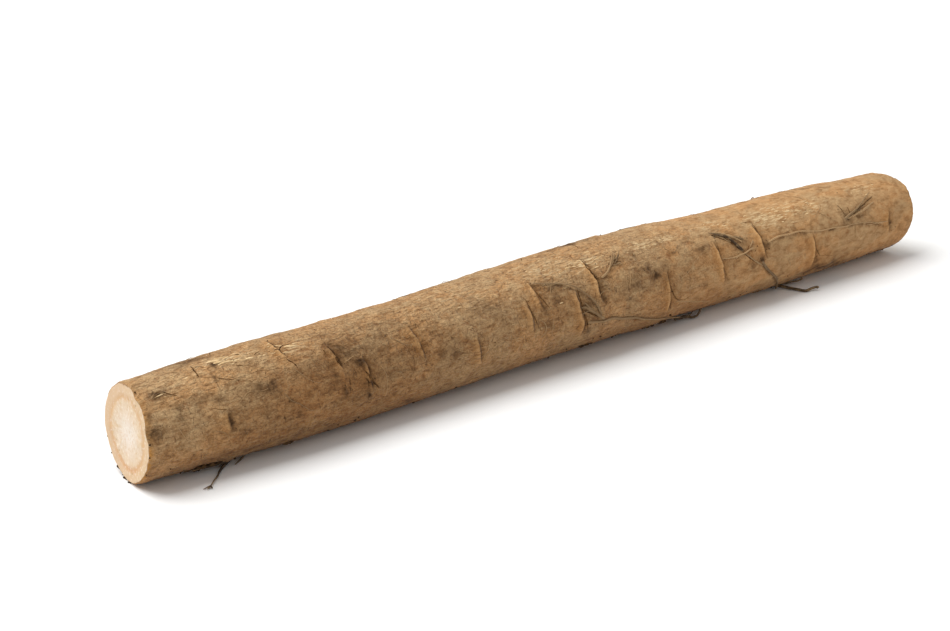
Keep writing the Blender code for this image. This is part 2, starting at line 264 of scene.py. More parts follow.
# Dark spots on the -Y side, mostly soil stains; the broad ones low on the root and between stations
# -95 and -60 are painted shade as well: station, angle, half width along in mm, half width round
# in degrees, and how dark
SEEN_STAINS_AND_SHADE = (
    (-149.3, -118, 0.7, 34, 0.9),
    (-149.2, 118, 0.8, 14, 0.5),
    (-148.9, 52, 0.8, 6, 0.6),
    (-148.5, 71, 1.8, 8, 0.85),
    (-144.6, 30, 2.8, 8, 0.85),
    (-146.2, 31, 1.2, 5, 0.9),
    (-140.6, 52, 1.6, 5, 0.5),
    (-141.1, 62, 1.4, 6, 0.5),
    (-136.3, 51, 2.2, 7, 0.4),
    (-129.6, 57, 1.6, 5, 0.5),
    (-128.6, 84, 0.9, 12, 1.0),
    (-127.4, 32, 0.9, 4, 0.9),
    (-126.0, 96, 3.0, 8, 0.35),
    (-124.8, 13, 1.1, 5, 0.9),
    (-122.0, 127, 14.0, 11, 0.34),
    (-117.5, 56, 4.0, 8, 0.45),
    (-114.9, 60, 1.9, 8, 0.95),
    (-110.4, 80, 1.0, 4, 0.5),
    (-109.1, 98, 0.9, 4, 0.6),
    (-98.0, 125, 14.0, 10, 0.24),
    (-95.4, 60, 1.0, 5, 0.9),
    (-95.2, 70, 0.7, 4, 0.7),
    (-94.0, 86, 0.6, 6, 0.7),
    (-90.0, 42, 8.0, 22, 0.55),
    (-86.7, 62, 1.8, 8, 0.95),
    (-86.4, 84, 1.6, 7, 0.8),
    (-86.4, 99, 0.8, 6, 0.9),
    (-77.8, 109, 1.6, 5, 0.6),
    (-71.4, 130, 2.4, 6, 0.7),
    (-72.0, 60, 9.0, 30, 0.30),
    (-56.0, 82, 7.0, 14, 0.30),
    (-38.0, 50, 6.0, 18, 0.30),
    (-21.1, 69, 1.2, 8, 0.6),
    (-16.0, 58, 4.5, 15, 0.60),
    (-22.0, 86, 3.0, 9, 0.30),
    (-3.8, 95, 3.2, 6, 0.9),
    (-5.5, 84, 1.6, 9, 0.6),
    (-5.6, 108, 1.2, 8, 0.8),
    (1.4, 76, 1.2, 5, 0.6),
    (2.6, 62, 1.4, 10, 0.45),
    (11.5, 84, 1.0, 4, 0.5),
    (11.8, 39, 2.0, 7, 0.6),
    (14.6, 72, 3.0, 10, 0.45),
    (19.5, 39, 0.8, 4, 0.7),
    (20.3, 59, 2.4, 6, 1.0),
    (23.5, 67, 2.0, 7, 0.7),
    (25.0, 72, 6.0, 12, 0.40),
    (29.9, 59, 1.6, 4, 0.5),
    (47.0, 54, 3.4, 8, 0.70),
    (62.0, 57, 1.6, 9, 0.8),
    (64.5, 62, 4.0, 10, 0.40),
    (70.4, 86, 1.8, 6, 1.0),
    (67.5, 90, 3.0, 5, 0.5),
    (74.3, 67, 1.5, 6, 0.8),
    (81.0, 118, 1.5, 14, 0.4),
    (98.6, 112, 1.6, 12, 0.55),
    (101.0, 127, 7.5, 7, 0.85),
    (106.0, 121, 4.5, 7, 0.75),
    (110.5, 136, 4.5, 6, 0.6),
    (110.0, 127, 8.0, 9, 0.45),
    (114.8, 62, 1.8, 8, 0.9),
    (121.0, 66, 4.0, 5, 0.45),
    (137.4, 86, 0.9, 12, 0.55),
    (137.4, 88, 1.6, 4, 0.7),
)
HIDDEN_STAINS = 26

# Stretches browned by damp soil, and stretches darkened as painted shade low on the root and near
# station -106: station, angle, half widths as above, and how much. Below 0 the bark is cleaner than
# round it
BROWNED_AND_SHADED = (
    (-106.0, 80, 15, 45, 0.22),
    (-116.0, 104, 20, 42, 0.20),
    (-120.0, 124, 26, 26, 0.34),
    (-139.0, 78, 11, 36, -0.30),
    (-92.0, 75, 20, 60, 0.42),
    (-75.0, 122, 16, 22, 0.30),
    (-66.0, 50, 22, 60, 0.20),
    (-18.0, 70, 12, 40, 0.20),
    (15.0, 125, 14, 18, 0.16),
    (22.0, 66, 14, 26, 0.16),
    (45.0, 121, 16, 24, 0.30),
    (60.0, 55, 16, 26, 0.16),
    (104.0, 119, 12, 20, 0.40),
    (-50.0, 250, 40, 50, 0.30),
    (70.0, 230, 35, 40, 0.25),
)

# Where the bark is worn pale, in short scratches that also paint glints: station, angle, half
# widths as above, strength
RUBBED_AND_GLINTS = (
    (-139.0, 12, 12, 24, 0.25),
    (-121.0, 10, 8, 9, 1.00),
    (-104.0, 22, 8, 10, 0.70),
    (-52.0, 10, 22, 22, 0.45),
    (-14.0, 20, 12, 20, 0.70),
    (1.0, 30, 9, 12, 0.90),
    (31.0, 29, 13, 8, 0.90),
    (60.0, 22, 12, 9, 0.80),
    (86.0, 32, 15, 18, 1.00),
    (104.0, 34, 9, 14, 0.80),
    (131.0, 28, 9, 12, 0.60),
    (-100.0, 300, 20, 16, 0.60),
    (-30.0, 285, 26, 12, 0.70),
    (50.0, 310, 24, 18, 0.70),
    (110.0, 270, 18, 14, 0.60),
)


class Line(NamedTuple):
    """A line over the bark: how thick it is in millimetres, how dark from 0 to 1, and the places
    that it passes, each a station in millimetres and an angle in degrees."""

    thickness: float
    tint: float
    places: tuple


# Cracks that soil has filled, and dark lines along the crease steps that are painted shade
SEEN_CRACKS_AND_STEP_SHADE = (
    Line(0.50, 1.0, ((-130.0, 4), (-130.6, 14), (-130.9, 25))),
    Line(0.35, 0.8, ((-131.0, 10), (-128.6, 9), (-127.0, 14))),
    Line(0.30, 0.8, ((-130.8, 25), (-127.4, 32), (-124.9, 37), (-122.5, 42), (-118.6, 49))),
    Line(0.45, 1.0, ((-107.9, 20), (-106.2, 20), (-104.1, 15), (-102.2, 16))),
    Line(0.40, 1.0, ((-105.6, 18), (-106.2, 25), (-106.0, 32))),
    Line(0.45, 1.0, ((-106.7, 35), (-105.8, 41), (-105.2, 49))),
    Line(0.40, 0.9, ((-117.7, 8), (-116.2, 10))),
    Line(0.35, 0.9, ((-113.7, 18), (-111.6, 16))),
    Line(0.35, 0.9, ((-120.0, 25), (-118.4, 27))),
    Line(0.45, 1.0, ((-145.0, 28), (-143.0, 30), (-141.2, 35), (-139.6, 38))),
    Line(0.30, 0.7, ((-132.1, 64), (-128.7, 70))),
    Line(0.45, 1.0, ((-95.2, 34), (-95.0, 38), (-95.3, 43))),
    Line(0.90, 1.0, ((-93.3, 33), (-92.8, 44), (-93.1, 53), (-92.6, 60))),
    Line(0.80, 1.0, ((-86.4, 70), (-85.5, 79), (-84.4, 87), (-82.9, 95))),
    Line(0.55, 1.0, ((-87.2, 78), (-86.2, 84), (-86.6, 90))),
    Line(0.65, 1.0, ((1.2, 22), (0.5, 39), (0.8, 55), (0.9, 67), (1.1, 79))),
    Line(0.60, 1.0, ((-7.3, 58), (-7.4, 70), (-7.3, 86), (-6.5, 98), (-6.2, 107))),
    Line(0.80, 1.0, ((-7.0, 83), (-4.1, 90), (-0.7, 97))),
    Line(0.75, 1.0, ((-6.4, 99), (-1.0, 101), (4.4, 103), (13.2, 109.5))),
    Line(0.45, 0.9, ((-21.8, 41), (-21.0, 50), (-20.4, 59), (-19.6, 69))),
    Line(0.40, 0.9, ((-26.6, 48), (-26.2, 64), (-25.3, 87))),
    Line(0.50, 0.9, ((29.6, 66), (28.6, 78), (29.3, 89), (30.5, 99), (32.2, 105), (35.1, 108))),
    Line(0.30, 0.7, ((35.1, 108), (38.0, 105))),
    Line(0.45, 0.9, ((12.0, 41), (13.6, 43))),
    Line(0.45, 0.8, ((19.8, 36), (19.2, 41))),
    Line(0.90, 1.0, ((55.0, 38), (57.2, 44), (60.3, 51), (62.4, 61), (63.3, 71))),
    Line(0.60, 1.0, ((63.4, 71), (65.4, 78), (68.5, 87))),
    Line(0.42, 0.75, ((54.9, 49), (54.1, 61), (53.4, 75), (54.8, 100))),
    Line(0.40, 0.75, ((74.0, 34), (74.3, 42), (73.8, 57), (73.3, 76), (74.0, 86))),
    Line(0.30, 0.7, ((69.6, 31), (71.8, 32), (74.0, 34))),
    Line(0.50, 0.75, ((97.4, 76), (97.9, 90), (100.2, 104))),
    Line(0.30, 0.7, ((100.2, 104), (103.6, 106), (107.4, 110))),
    Line(0.45, 0.9, ((114.2, 44), (115.0, 53), (114.6, 63))),
    Line(0.45, 0.8, ((118.3, 50), (117.6, 61))),
    Line(0.50, 0.9, ((119.4, 57), (124.4, 54), (130.1, 47), (133.4, 43))),
    Line(0.30, 0.7, ((118.2, 76), (117.9, 86))),
    Line(0.40, 0.6, ((138.0, 63), (137.5, 72), (137.3, 86), (137.6, 101))),
)
HIDDEN_CRACKS = 34

# Fine strands that lie along the bark, besides the side roots of the solid
STRANDS = (
    Line(0.95, 0.05, ((55.4, 34), (57.9, 37), (60.6, 43), (63.0, 50), (64.6, 57))),
    Line(0.50, 0.25, ((56.2, 40), (58.4, 46), (61.2, 54))),
    Line(0.55, 0.30, ((13.8, 28), (12.8, 33), (11.4, 38), (9.6, 43), (7.2, 47))),
    Line(0.50, 0.70, ((14.6, 33), (13.0, 38), (11.0, 43))),
    Line(0.45, 0.60, ((9.0, 40), (10.2, 44), (13.0, 44))),
    Line(1.00, 0.50, ((-6.9, 79), (-5.6, 82), (-3.9, 87), (-2.0, 92))),
    Line(0.55, 0.30, ((63.8, 72), (65.6, 77), (68.6, 86), (70.8, 92))),
    Line(0.50, 0.20, ((66.8, 66), (68.2, 62), (69.6, 58))),
    Line(0.35, 0.10, ((31.4, 107), (35.0, 110), (39.5, 115), (44.0, 119), (48.6, 125))),
    Line(0.85, 0.05, ((115.4, 64), (120.5, 61.5), (125.8, 58), (132.0, 51.5))),
    Line(0.45, 0.60, ((118.6, 57), (122.0, 57), (126.4, 53))),
    Line(0.40, 0.05, ((124.5, 79), (131.0, 81), (136.0, 82))),
    Line(0.30, 0.10, ((-138.0, 2), (-135.6, 5), (-134.6, 10), (-136.2, 15))),
    Line(0.30, 0.20, ((-24.2, 78), (-22.6, 84), (-22.8, 92), (-24.8, 98))),
)

# Loose ends that hang clear of the bark or lie on the surface: thickness at the start and at the
# end in millimetres, how dark, and the places that they pass, in millimetres
LOOSE_ENDS = (
    (0.90, 0.60, 0.95, (
        (38.0, -9.9, 2.4), (41.5, -9.2, 1.7), (44.3, -8.4, 1.3), (46.2, -9.3, 0.8),
        (48.6, -9.4, 0.8), (51.0, -8.4, 1.6), (53.0, -7.4, 2.8),
    )),
    (1.10, 0.70, 0.92, (
        (88.8, -4.6, 1.0), (90.3, -7.4, 0.8), (91.6, -10.6, 0.7), (92.8, -13.2, 0.6),
        (93.9, -15.6, 0.6), (96.6, -15.9, 0.9), (98.2, -16.9, 1.3), (97.6, -18.4, 1.2),
    )),
    (0.65, 0.40, 0.78, (
        (90.0, -5.0, 1.2), (93.0, -6.9, 1.0), (95.7, -7.6, 1.1), (98.2, -8.5, 1.2),
        (99.8, -8.9, 1.7), (99.4, -8.1, 2.8),
    )),
)

# How dark each side root on the -Y side is, from 0 for pale to 1, and how much of the thickness
# that it has in the solid, in the order of SEEN_SIDE_ROOTS
SIDE_ROOT_LOOKS = (
    (0.45, 0.90), (0.50, 0.85), (0.55, 0.80), (0.25, 0.70), (0.98, 0.85), (0.60, 0.75),
    (0.10, 0.70), (0.70, 0.90), (0.05, 0.75), (0.50, 0.80), (1.00, 1.00),
)
# The same in the order of SEEN_FLOOR_ROOTS. The last two are drawn as loose ends, which bend more
FLOOR_ROOT_LOOKS = ((1.00, 1.00), (1.00, 0.80), (0.90, 0.00), (0.90, 0.00))
# Where some of FLOOR_ROOTS split: the share of the length, and the turn in degrees and the length
# in millimetres of each branch
TWO_BRANCHES = (0.70, ((35, 3.0), (-30, 2.5)))
FLOOR_ROOT_SPLITS = {0: (0.93, ((38, 2.4), (-42, 2.0), (8, 1.8))), 4: TWO_BRANCHES, 5: TWO_BRANCHES}

# Pale flecks of peeled cork that stand up and catch the light, their pale colour also a painted
# glint: station in millimetres, angle in degrees, and size
SEEN_FLECKS = (
    (-123.8, 7, 1.4), (-121.8, 5, 1.1), (-120.2, 8, 0.9), (-117.6, 6, 0.8), (-123.2, 12, 1.5),
    (-121.9, 15, 1.3), (-119.3, 17, 1.5), (-115.4, 21, 1.3), (-112.6, 22, 0.8), (-134.0, 20, 0.8),
    (-103.0, 18, 1.0), (-100.6, 17, 0.8), (-144.5, 33, 0.8), (-143.0, 36, 0.5), (-102.0, 20, 0.9),
    (-107.0, 8, 0.8), (-5.4, 30, 1.0), (-2.9, 31, 0.8), (0.4, 26, 0.9), (5.9, 16, 0.8),
    (2.8, 33, 1.0), (6.8, 30, 0.8), (8.0, 29, 0.7), (4.4, 40, 0.7), (-1.6, 27, 0.7),
    (24.8, 25, 0.8), (27.0, 32, 0.9), (30.4, 33, 0.8), (33.8, 30, 0.8), (37.4, 32, 0.7),
    (40.6, 30, 0.8), (58.6, 15, 1.0), (63.8, 28, 0.9), (74.9, 22, 1.0), (82.6, 30, 0.8),
    (85.5, 34, 0.9), (88.4, 29, 0.8), (91.7, 33, 1.1), (92.8, 41, 0.8), (90.6, 50, 0.7),
    (86.6, 46, 0.7), (96.5, 37, 1.1), (99.0, 44, 0.8), (101.0, 39, 0.9), (105.0, 32, 1.0),
    (103.2, 28, 0.8), (78.4, 40, 0.7), (131.8, 38, 0.8), (130.0, 20, 0.7), (-14.7, 67, 0.6),
)
LOOSE_FLECKS = 90
FLECK_CORNERS = 8

# Crumbs on the edge of the near cut face, and specks pressed into it: their station and how far
# off the bark they are in mm, and the angle and the size in mm of each
RIM_CRUMBS_STATION = -149.6
RIM_CRUMBS_LIFT = 0.30
RIM_CRUMBS = (
    (-106, 0.45), (-113, 0.65), (-117, 0.3), (-120, 0.4), (-126, 0.28), (-132, 0.5), (-136, 0.28),
    (-137, 0.35), (-149, 0.45), (-151, 0.3), (-153, 0.2), (-163, 0.18), (-168, 0.42), (-170, 0.32),
    (-173, 0.2), (179, 0.4), (176, 0.24),
)
RIM_SPECKS_STATION = -149.8
RIM_SPECKS_LIFT = -0.15
RIM_SPECKS = ((17, 0.30), (83, 0.32), (98, 0.26), (49, 0.18), (124, 0.18))
# Knots of soil in the side roots that lie on the surface: where in millimetres, and how large
SOIL_KNOTS = (((89.5, -4.6, 0.8), 0.9), ((-134.2, -6.0, 0.6), 0.5))
# Dark scraps of old skin on the underside: how far off the bark they are, how much longer and
# flatter than a crumb, and the station, angle, length and width in millimetres of each
SCRAP_LIFT = 0.1 * MM
SCRAP_STRETCH = (2.2, 1.0, 0.8)
SCRAPS = (
    (-134.0, 143, 6.0, 0.8),
    (-110.5, 141, 4.0, 0.6),
    (-3.0, 139, 6.0, 0.5),
    (28.0, 142, 7.0, 0.6),
    (-60.0, 215, 7.0, 0.6),
    (66.0, 222, 5.0, 0.6),
)

# Crumbs along the low sides, how far crumbs stand off the bark in mm, and how far they stay off
# the surface
LOW_CRUMBS = 46
CRUMB_LIFT = 0.02
FLOOR_GAP = 0.02 * MM

# Where the near cut is uneven: angle and half width in degrees, how far it stands out along the
# root and how far its rim is torn in, in mm, and the share of the radius from which it does
NEAR_TEARS = (
    (-82, 44, 0.85, 0.00, 0.10),
    (71, 10, 0.50, 0.55, 0.86),
    (24, 7, 0.40, 0.35, 0.88),
)
# How far in from a cut the knife has marked the bark, and the middle and the half widths of the
# stretch of the near rim where it has bared most
RIM_REACH = 2.1 * MM
MOST_BARED_ANGLE = math.radians(98)
MOST_BARED_LENGTH = 6 * MM
MOST_BARED_WIDTH = math.radians(52)
# The share of the radius at which the ring between the wood and the cortex lies, and its half width
RING_SHARE = 0.71
RING_WIDTH = 0.03
FACE_RADIUS = 14 * MM
KNIFE_MARK_GAP = 1.1 * MM
# The relief of a cut face in mm: its sunk ring, rays, knife marks and hollow middle, and the share
# of the radius over which the hollow fades out. Then how ragged and how wavy its rim is
RING_DEPTH = 0.10
RAY_HEIGHT = 0.05
KNIFE_MARK_HEIGHT = 0.035
HOLLOW_DEPTH = 0.12
HOLLOW_SHARE = 0.35
RIM_RAGGED = 0.22
RIM_WAVY = 0.30
# The share of the radius from which the skin counts as bark
BARK_FROM = 0.93

# Where handling starts to wear the bark smooth, and over what length it gets fully so
POLISHED_FROM = -10 * MM
POLISHED_OVER = 110 * MM
# A painted shadow along the low side of each side root
ROOT_SHADE_BELOW = 0.45 * MM
ROOT_SHADE_ALONG = 0.80 * MM
ROOT_SHADE_AROUND = 0.55 * MM
# How deep the painted shade line under a crease is pressed in, and how far the lip, which carries a
# painted highlight, stands out
CREASE_LINE_DEPTH = 0.20 * MM
CREASE_LIP_RISE = 0.12 * MM

# How far apart the points of a side root and of a line are, the radius at a tip, the corners of the
# rings, and how far off the surface the middle of a thread stays, in radii
THREAD_STEP = 0.8 * MM
LINE_STEP = 0.45 * MM
SIDE_ROOT_TIP = 0.14 * MM
HAIR_ROOT_TIP = 0.05 * MM
SIDE_ROOT_CORNERS = 9
FINE_CORNERS = 6
THREAD_CLEARANCE = 1.15

# Random patterns over the skin: the length of a cell in millimetres, cells round the root, seed
PATTERNS = {
    "crease bends": (30, 26, 7),
    "crease wavers": (9, 60, 8),
    "crease gaps": (40, 44, 31),
    "wrinkles": (7, 52, 11),
    "fine wrinkles": (3.2, 104, 12),
    "cross wrinkles": (1.5, 15, 13),
    "roughness": (0.9, 96, 14),
    "lumps": (5, 22, 15),
    "large flakes": (7, 17, 21),
    "flakes": (2.6, 40, 22),
    "small flakes": (1.1, 90, 23),
    "rays": (20, 48, 41),
    "knife marks": (5, 9, 42),
    "ragged rim": (2, 70, 51),
    "rim waves": (40, 11, 53),
    "bared places": (40, 7, 52),
}

# The grid of the skin: points round it, rings along it, rings of each cut face and of each rounded
# rim, and the gaps between rings at a crease and away from one
SKIN_SIDES = 144
SKIN_RINGS = 620
FACE_RINGS = 22
RIM_RINGS = 4
CREASE_RING_GAP = 0.22 * MM
PLAIN_RING_GAP = 0.72 * MM
# How far from a crease and from a rim the rings stay close together
CREASE_RING_REACH = 1.3 * MM
RIM_RING_REACH = 1.5 * MM

# A lump of soil before it is made uneven: an icosahedron
LUMP_CORNERS = np.array(
    [
        (0, 0, 1),
        *(
            (0.894 * math.cos((k + half) * 1.2566), 0.894 * math.sin((k + half) * 1.2566), height)
            for half, height in ((0, 0.447), (0.5, -0.447))
            for k in range(5)
        ),
        (0, 0, -1),
    ]
)
LUMP_FACES = [
    *((0, 1 + k, 1 + (k + 1) % 5) for k in range(5)),
    *((1 + k, 6 + k, 1 + (k + 1) % 5) for k in range(5)),
    *((6 + k, 6 + (k + 1) % 5, 1 + (k + 1) % 5) for k in range(5)),
    *((11, 6 + (k + 1) % 5, 6 + k) for k in range(5)),
]


def ease(share):
    """0 to 1 with no kink at either end."""
    share = np.clip(share, 0.0, 1.0)
    return share * share * (3 - 2 * share)


def through(values, share):
    """The smooth curve through evenly spaced values, read at a share of the length."""
    values = np.asarray(values)
    last = len(values) - 1
    place = np.clip(share, 0.0, 1.0) * last
    start = np.minimum(place.astype(int), last - 1)
    t = place - start
    a, b, c, d = (values[np.clip(start + step, 0, last)] for step in (-1, 0, 1, 2))
    return b + 0.5 * t * (c - a + t * (2 * a - 5 * b + 4 * c - d + t * (3 * (b - c) + d - a)))


def angle_between(a, b):
    """The signed turn from b to a, the short way round."""
    return (a - b + math.pi) % (2 * math.pi) - math.pi


def share_of(station):
    """How far along the root a station is, from 0 to 1."""
    return station / LENGTH + 0.5


def hump(station, angle, x, turn, along, around):
    """1 at a place of the skin, and fading out over the half widths along and round the root."""
    far = ((station - x) / along) ** 2 + (angle_between(angle, turn) / around) ** 2
    return np.exp(-far)


def spot(station, angle, x, turn, along, around):
    """The same, with the place and the half widths in millimetres and degrees."""
    return hump(station, angle, x * MM, math.radians(turn), along * MM, math.radians(around))


def crease_reach(crease, angle):
    """1 at the middle of a crease, and 0 past its two ends."""
    turn = np.abs(angle_between(angle, math.radians(crease.angle)))
    return 1 - ease(turn / math.radians(crease.half_span))


def crease_height(station, angle):
    """The lip and the step of every cross crease here."""
    height = 0.0
    for crease in CREASES:
        past = station - crease.station * MM
        lip = np.exp(np.minimum(past, 0) / CREASE_LIP_WIDTH)
        fall = np.exp(-np.maximum(past, 0) / CREASE_FALL_WIDTH)
        side = ease(0.5 + past / (2 * CREASE_EDGE))
        step = 0.5 * lip * (1 - side) - 0.5 * fall * side
        near = np.abs(past) <= 5 * CREASE_FALL_WIDTH
        height = height + np.where(near, crease.depth * MM * crease_reach(crease, angle) * step, 0)
    return height


def scar_height(station, angle, radius):
    """The knuckle of bark that each side root grows from, or grew from."""
    height = 0.0
    for x, turn in SCARS:
        around = SCAR_RADIUS / radius
        height = height + hump(station, angle, x * MM, math.radians(turn), SCAR_RADIUS, around)
    return SCAR_HEIGHT * height


def swelling_height(station, angle):
    """The low swellings and hollows of the bark here."""
    height = 0.0
    for x, turn, along, around, most in SWELLINGS:
        height = height + most * hump(station, angle, x, turn, along, around)
    return height


def worn(angle):
    """1 on the underside, where the relief of the bark has worn off."""
    return ease((-np.cos(angle) - WORN_FROM) / WORN_EASE)


def bark_radius(station, angle):
    """The distance from the root's own line to its bark, with the relief that the solid has."""
    share = share_of(station)
    plain = through(STATION_RADII, share)
    oval = 1 + OVAL_SHARE * np.cos(2 * angle + OVAL_TWIST * (1 + 2 * share))
    relief = (
        crease_height(station, angle)
        + scar_height(station, angle, plain)
        + swelling_height(station, angle)
    )
    return plain * oval + (1 - worn(angle)) * relief


def place_on_root(station, angle, share=1.0, lift=0.0, push=0.0):
    """Points of the root: share 0 is on its own line and 1 on its bark, lift stands off it and
    push moves along it."""
    station, angle = np.broadcast_arrays(np.asarray(station, float), np.asarray(angle, float))
    off_flat = (np.abs(station) - FLAT_STATION) / FLAT_REACH
    clearance = REST_CLEARANCE * (1 - np.exp(-off_flat * off_flat))
    bottom = bark_radius(station, np.full_like(station, math.pi))
    out = share * bark_radius(station, angle) + lift
    y, z = -out * np.sin(angle), out * np.cos(angle)
    inward = 0.5 * LENGTH - np.abs(station)
    near = 1 - ease(inward / CUT_LEAN_REACH)
    lean_y = np.where(station < 0, NEAR_CUT_LEAN[0], FAR_CUT_LEAN[0])
    lean_z = np.where(station < 0, NEAR_CUT_LEAN[1], FAR_CUT_LEAN[1])
    fade = ease(inward / CREASE_LEAN_FADE)
    x = station + near * (lean_y * y + lean_z * z) + push
    x = x + share * CREASE_LEAN * fade * np.sin(angle - CREASE_LEAN_ANGLE)
    height = z + bottom - FLAT_DEPTH + clearance
    middle = through(STATION_SIDES, share_of(station))
    return np.stack([x, y + middle, np.maximum(height, 0.0)], axis=-1)


def grain(station, angle, name):
    """Smooth random values from -1 to 1 over the skin, which join up round it, in the cells that
    PATTERNS gives for the name."""
    along, count, seed = PATTERNS[name]
    along = along * MM
    rows = int(1.2 * LENGTH / along) + 3
    table = np.random.default_rng(seed).uniform(-1, 1, (rows, count))
    u = (station + 0.6 * LENGTH) / along
    v = (angle / (2 * math.pi) % 1) * count
    i, j = np.floor(u).astype(int), np.floor(v).astype(int)
    fu, fv = ease(u - i), ease(v - j)
    a, b = table[i % rows, j % count], table[i % rows, (j + 1) % count]
    c, d = table[(i + 1) % rows, j % count], table[(i + 1) % rows, (j + 1) % count]
    return (a * (1 - fv) + b * fv) * (1 - fu) + (c * (1 - fv) + d * fv) * fu


def ring_stations():
    """Where the rings of the skin go: close together at each crease, wider apart between."""
    end = 0.5 * LENGTH - RIM_ROUNDING
    fine = np.linspace(-end, end, 20001)
    close = np.full_like(fine, 1 / PLAIN_RING_GAP)
    for crease in CREASES:
        past = (fine - crease.station * MM) / CREASE_RING_REACH
        close += np.exp(-(past**4)) / CREASE_RING_GAP
    close += np.exp(-((end - np.abs(fine)) / RIM_RING_REACH)) / CREASE_RING_GAP
    passed = np.concatenate([[0], np.cumsum(0.5 * (close[1:] + close[:-1]))])
    return np.interp(np.linspace(0, passed[-1], SKIN_RINGS), passed, fine)


class SkinGrid(NamedTuple):
    """The grid that the skin is drawn on: rows from the middle of one cut face to that of the
    other, and columns round the root."""

    station: np.ndarray
    share: np.ndarray
    angle: np.ndarray
    on_face: np.ndarray


def skin_grid():
    """The grid of the skin, with its rows close together at the rims and the creases."""
    end = 0.5 * LENGTH
    rim = 1 - RIM_ROUNDING / STATION_RADII[0]
    face = np.linspace(0, 1, FACE_RINGS + 1)[1:] ** 0.85 * rim
    turn = np.linspace(0, math.pi / 2, RIM_RINGS + 2)[1:-1]
    corner_station = end - RIM_ROUNDING * (1 - np.cos(turn))
    corner_share = rim + (1 - rim) * np.sin(turn)
    rings = ring_stations()
    flat = np.full(FACE_RINGS, end)
    station = np.concatenate([-flat, -corner_station, rings, corner_station[::-1], flat])
    share = np.concatenate(
        [face, corner_share, np.ones(len(rings)), corner_share[::-1], face[::-1]]
    )
    on_face = np.zeros(len(station), bool)
    on_face[: FACE_RINGS + 1] = True
    on_face[-FACE_RINGS - 1 :] = True
    angle = np.arange(SKIN_SIDES) * 2 * math.pi / SKIN_SIDES
    s, a = np.meshgrid(station, angle, indexing="ij")
    return SkinGrid(s, np.repeat(share[:, None], SKIN_SIDES, 1), a, on_face)


def wandering(station, angle):
    """The station that a crease sees here, so that its line wanders as it crosses the root."""
    bends, wavers = grain(station, angle, "crease bends"), grain(station, angle, "crease wavers")
    return station + 0.55 * MM * bends + 0.25 * MM * wavers


def flakes(station, angle):
    """1 where the outer skin still sits on, and 0 where it has flaked off."""
    mix = (
        0.75 * grain(station, angle, "large flakes")
        + 0.45 * grain(station, angle, "flakes")
        + 0.25 * grain(station, angle, "small flakes")
    )
    return ease(0.5 + mix / 0.16)


def skin_lift(station, angle, depth):
    """The fine relief of the bark, which only the skin has."""
    wrinkle, fine, across = (
        1 - np.abs(grain(station, angle, name))
        for name in ("wrinkles", "fine wrinkles", "cross wrinkles")
    )
    # In millimetres. The powers narrow the wrinkles into grooves
    lift = -0.09 * wrinkle**3 - 0.06 * fine**3 - 0.07 * across**4
    lift = lift + 0.035 * grain(station, angle, "roughness") + 0.13 * grain(station, angle, "lumps")
    return depth * MM * (lift + 0.12 * flakes(station, angle) - 0.04)


def fine_relief(station, angle, depth):
    """What the skin adds to the bark of the solid, away from its worn underside."""
    dark, pale, _, _ = crease_lines(station, angle)
    lift = skin_lift(station, angle, depth) - CREASE_LINE_DEPTH * dark + CREASE_LIP_RISE * pale
    return lift * (1 - worn(angle))


def crease_lines(station, angle):
    """How dark the painted shade line under each crease is here, how pale the painted highlight on
    the lip over it, how warm the bark round it, and how much painted shade lies in its lee."""
    seen = wandering(station, angle)
    dark, pale, warm, lee = 0.0, 0.0, 0.0, 0.0
    broken = ease(0.62 + 0.8 * grain(station, angle, "crease gaps"))
    # Distances are in millimetres, and a deep crease has a longer and wider line
    for crease in CREASES:
        past = (seen - crease.station * MM) / MM
        reach = ease(1.6 * crease_reach(crease, angle)) * min(1.0, 0.35 + 0.85 * crease.depth)
        width = 0.30 + 0.35 * crease.depth
        line = np.exp(-((past / np.where(past > 0, width, 0.22)) ** 2))
        dark = np.maximum(dark, reach * broken * line)
        pale = np.maximum(pale, reach * np.exp(-(((past + 0.75) / 0.60) ** 2)))
        warm = np.maximum(warm, reach * np.exp(-(((past + 1.0) / 3.0) ** 2)))
        lee = np.maximum(lee, reach * np.where(past > 0, np.exp(-np.maximum(past, 0) / 1.6), 0))
    return dark, pale, warm, lee


def hidden_stains(draw):
    """Stains on the back and the underside, as rows like those of SEEN_STAINS_AND_SHADE."""
    return [
        (
            draw.uniform(-145, 145),
            draw.uniform(165, 350),
            draw.uniform(1.5, 8.0),
            draw.uniform(6, 22),
            draw.uniform(0.3, 0.9),
        )
        for _ in range(HIDDEN_STAINS)
    ]


def stains(station, angle):
    """How dark the bark is made: soil stains in spots, some of which are painted shade, and a
    painted shadow along the low side of each side root.
    """
    clear = 1.0
    for *place, dark in (*SEEN_STAINS_AND_SHADE, *hidden_stains(random.Random(SEED + 5))):
        clear = clear * (1 - dark * spot(station, angle, *place))
    # A painted shadow along the low side of each side root
    for root in SIDE_ROOTS:
        _, _, x, turned = bark_path(root, 1.0 * MM)
        below = np.sign(np.sin(turned)) * ROOT_SHADE_BELOW
        close = 1.0
        for at, turn in zip(x, turned + below / STATION_RADII[0]):
            along = (station - at) / ROOT_SHADE_ALONG
            around = angle_between(angle, turn) * STATION_RADII[0] / ROOT_SHADE_AROUND
            close = np.minimum(close, along**2 + around**2)
        clear = clear * (1 - 0.75 * np.exp(-2.5 * close) * (close < 1.0))
    return 1 - clear


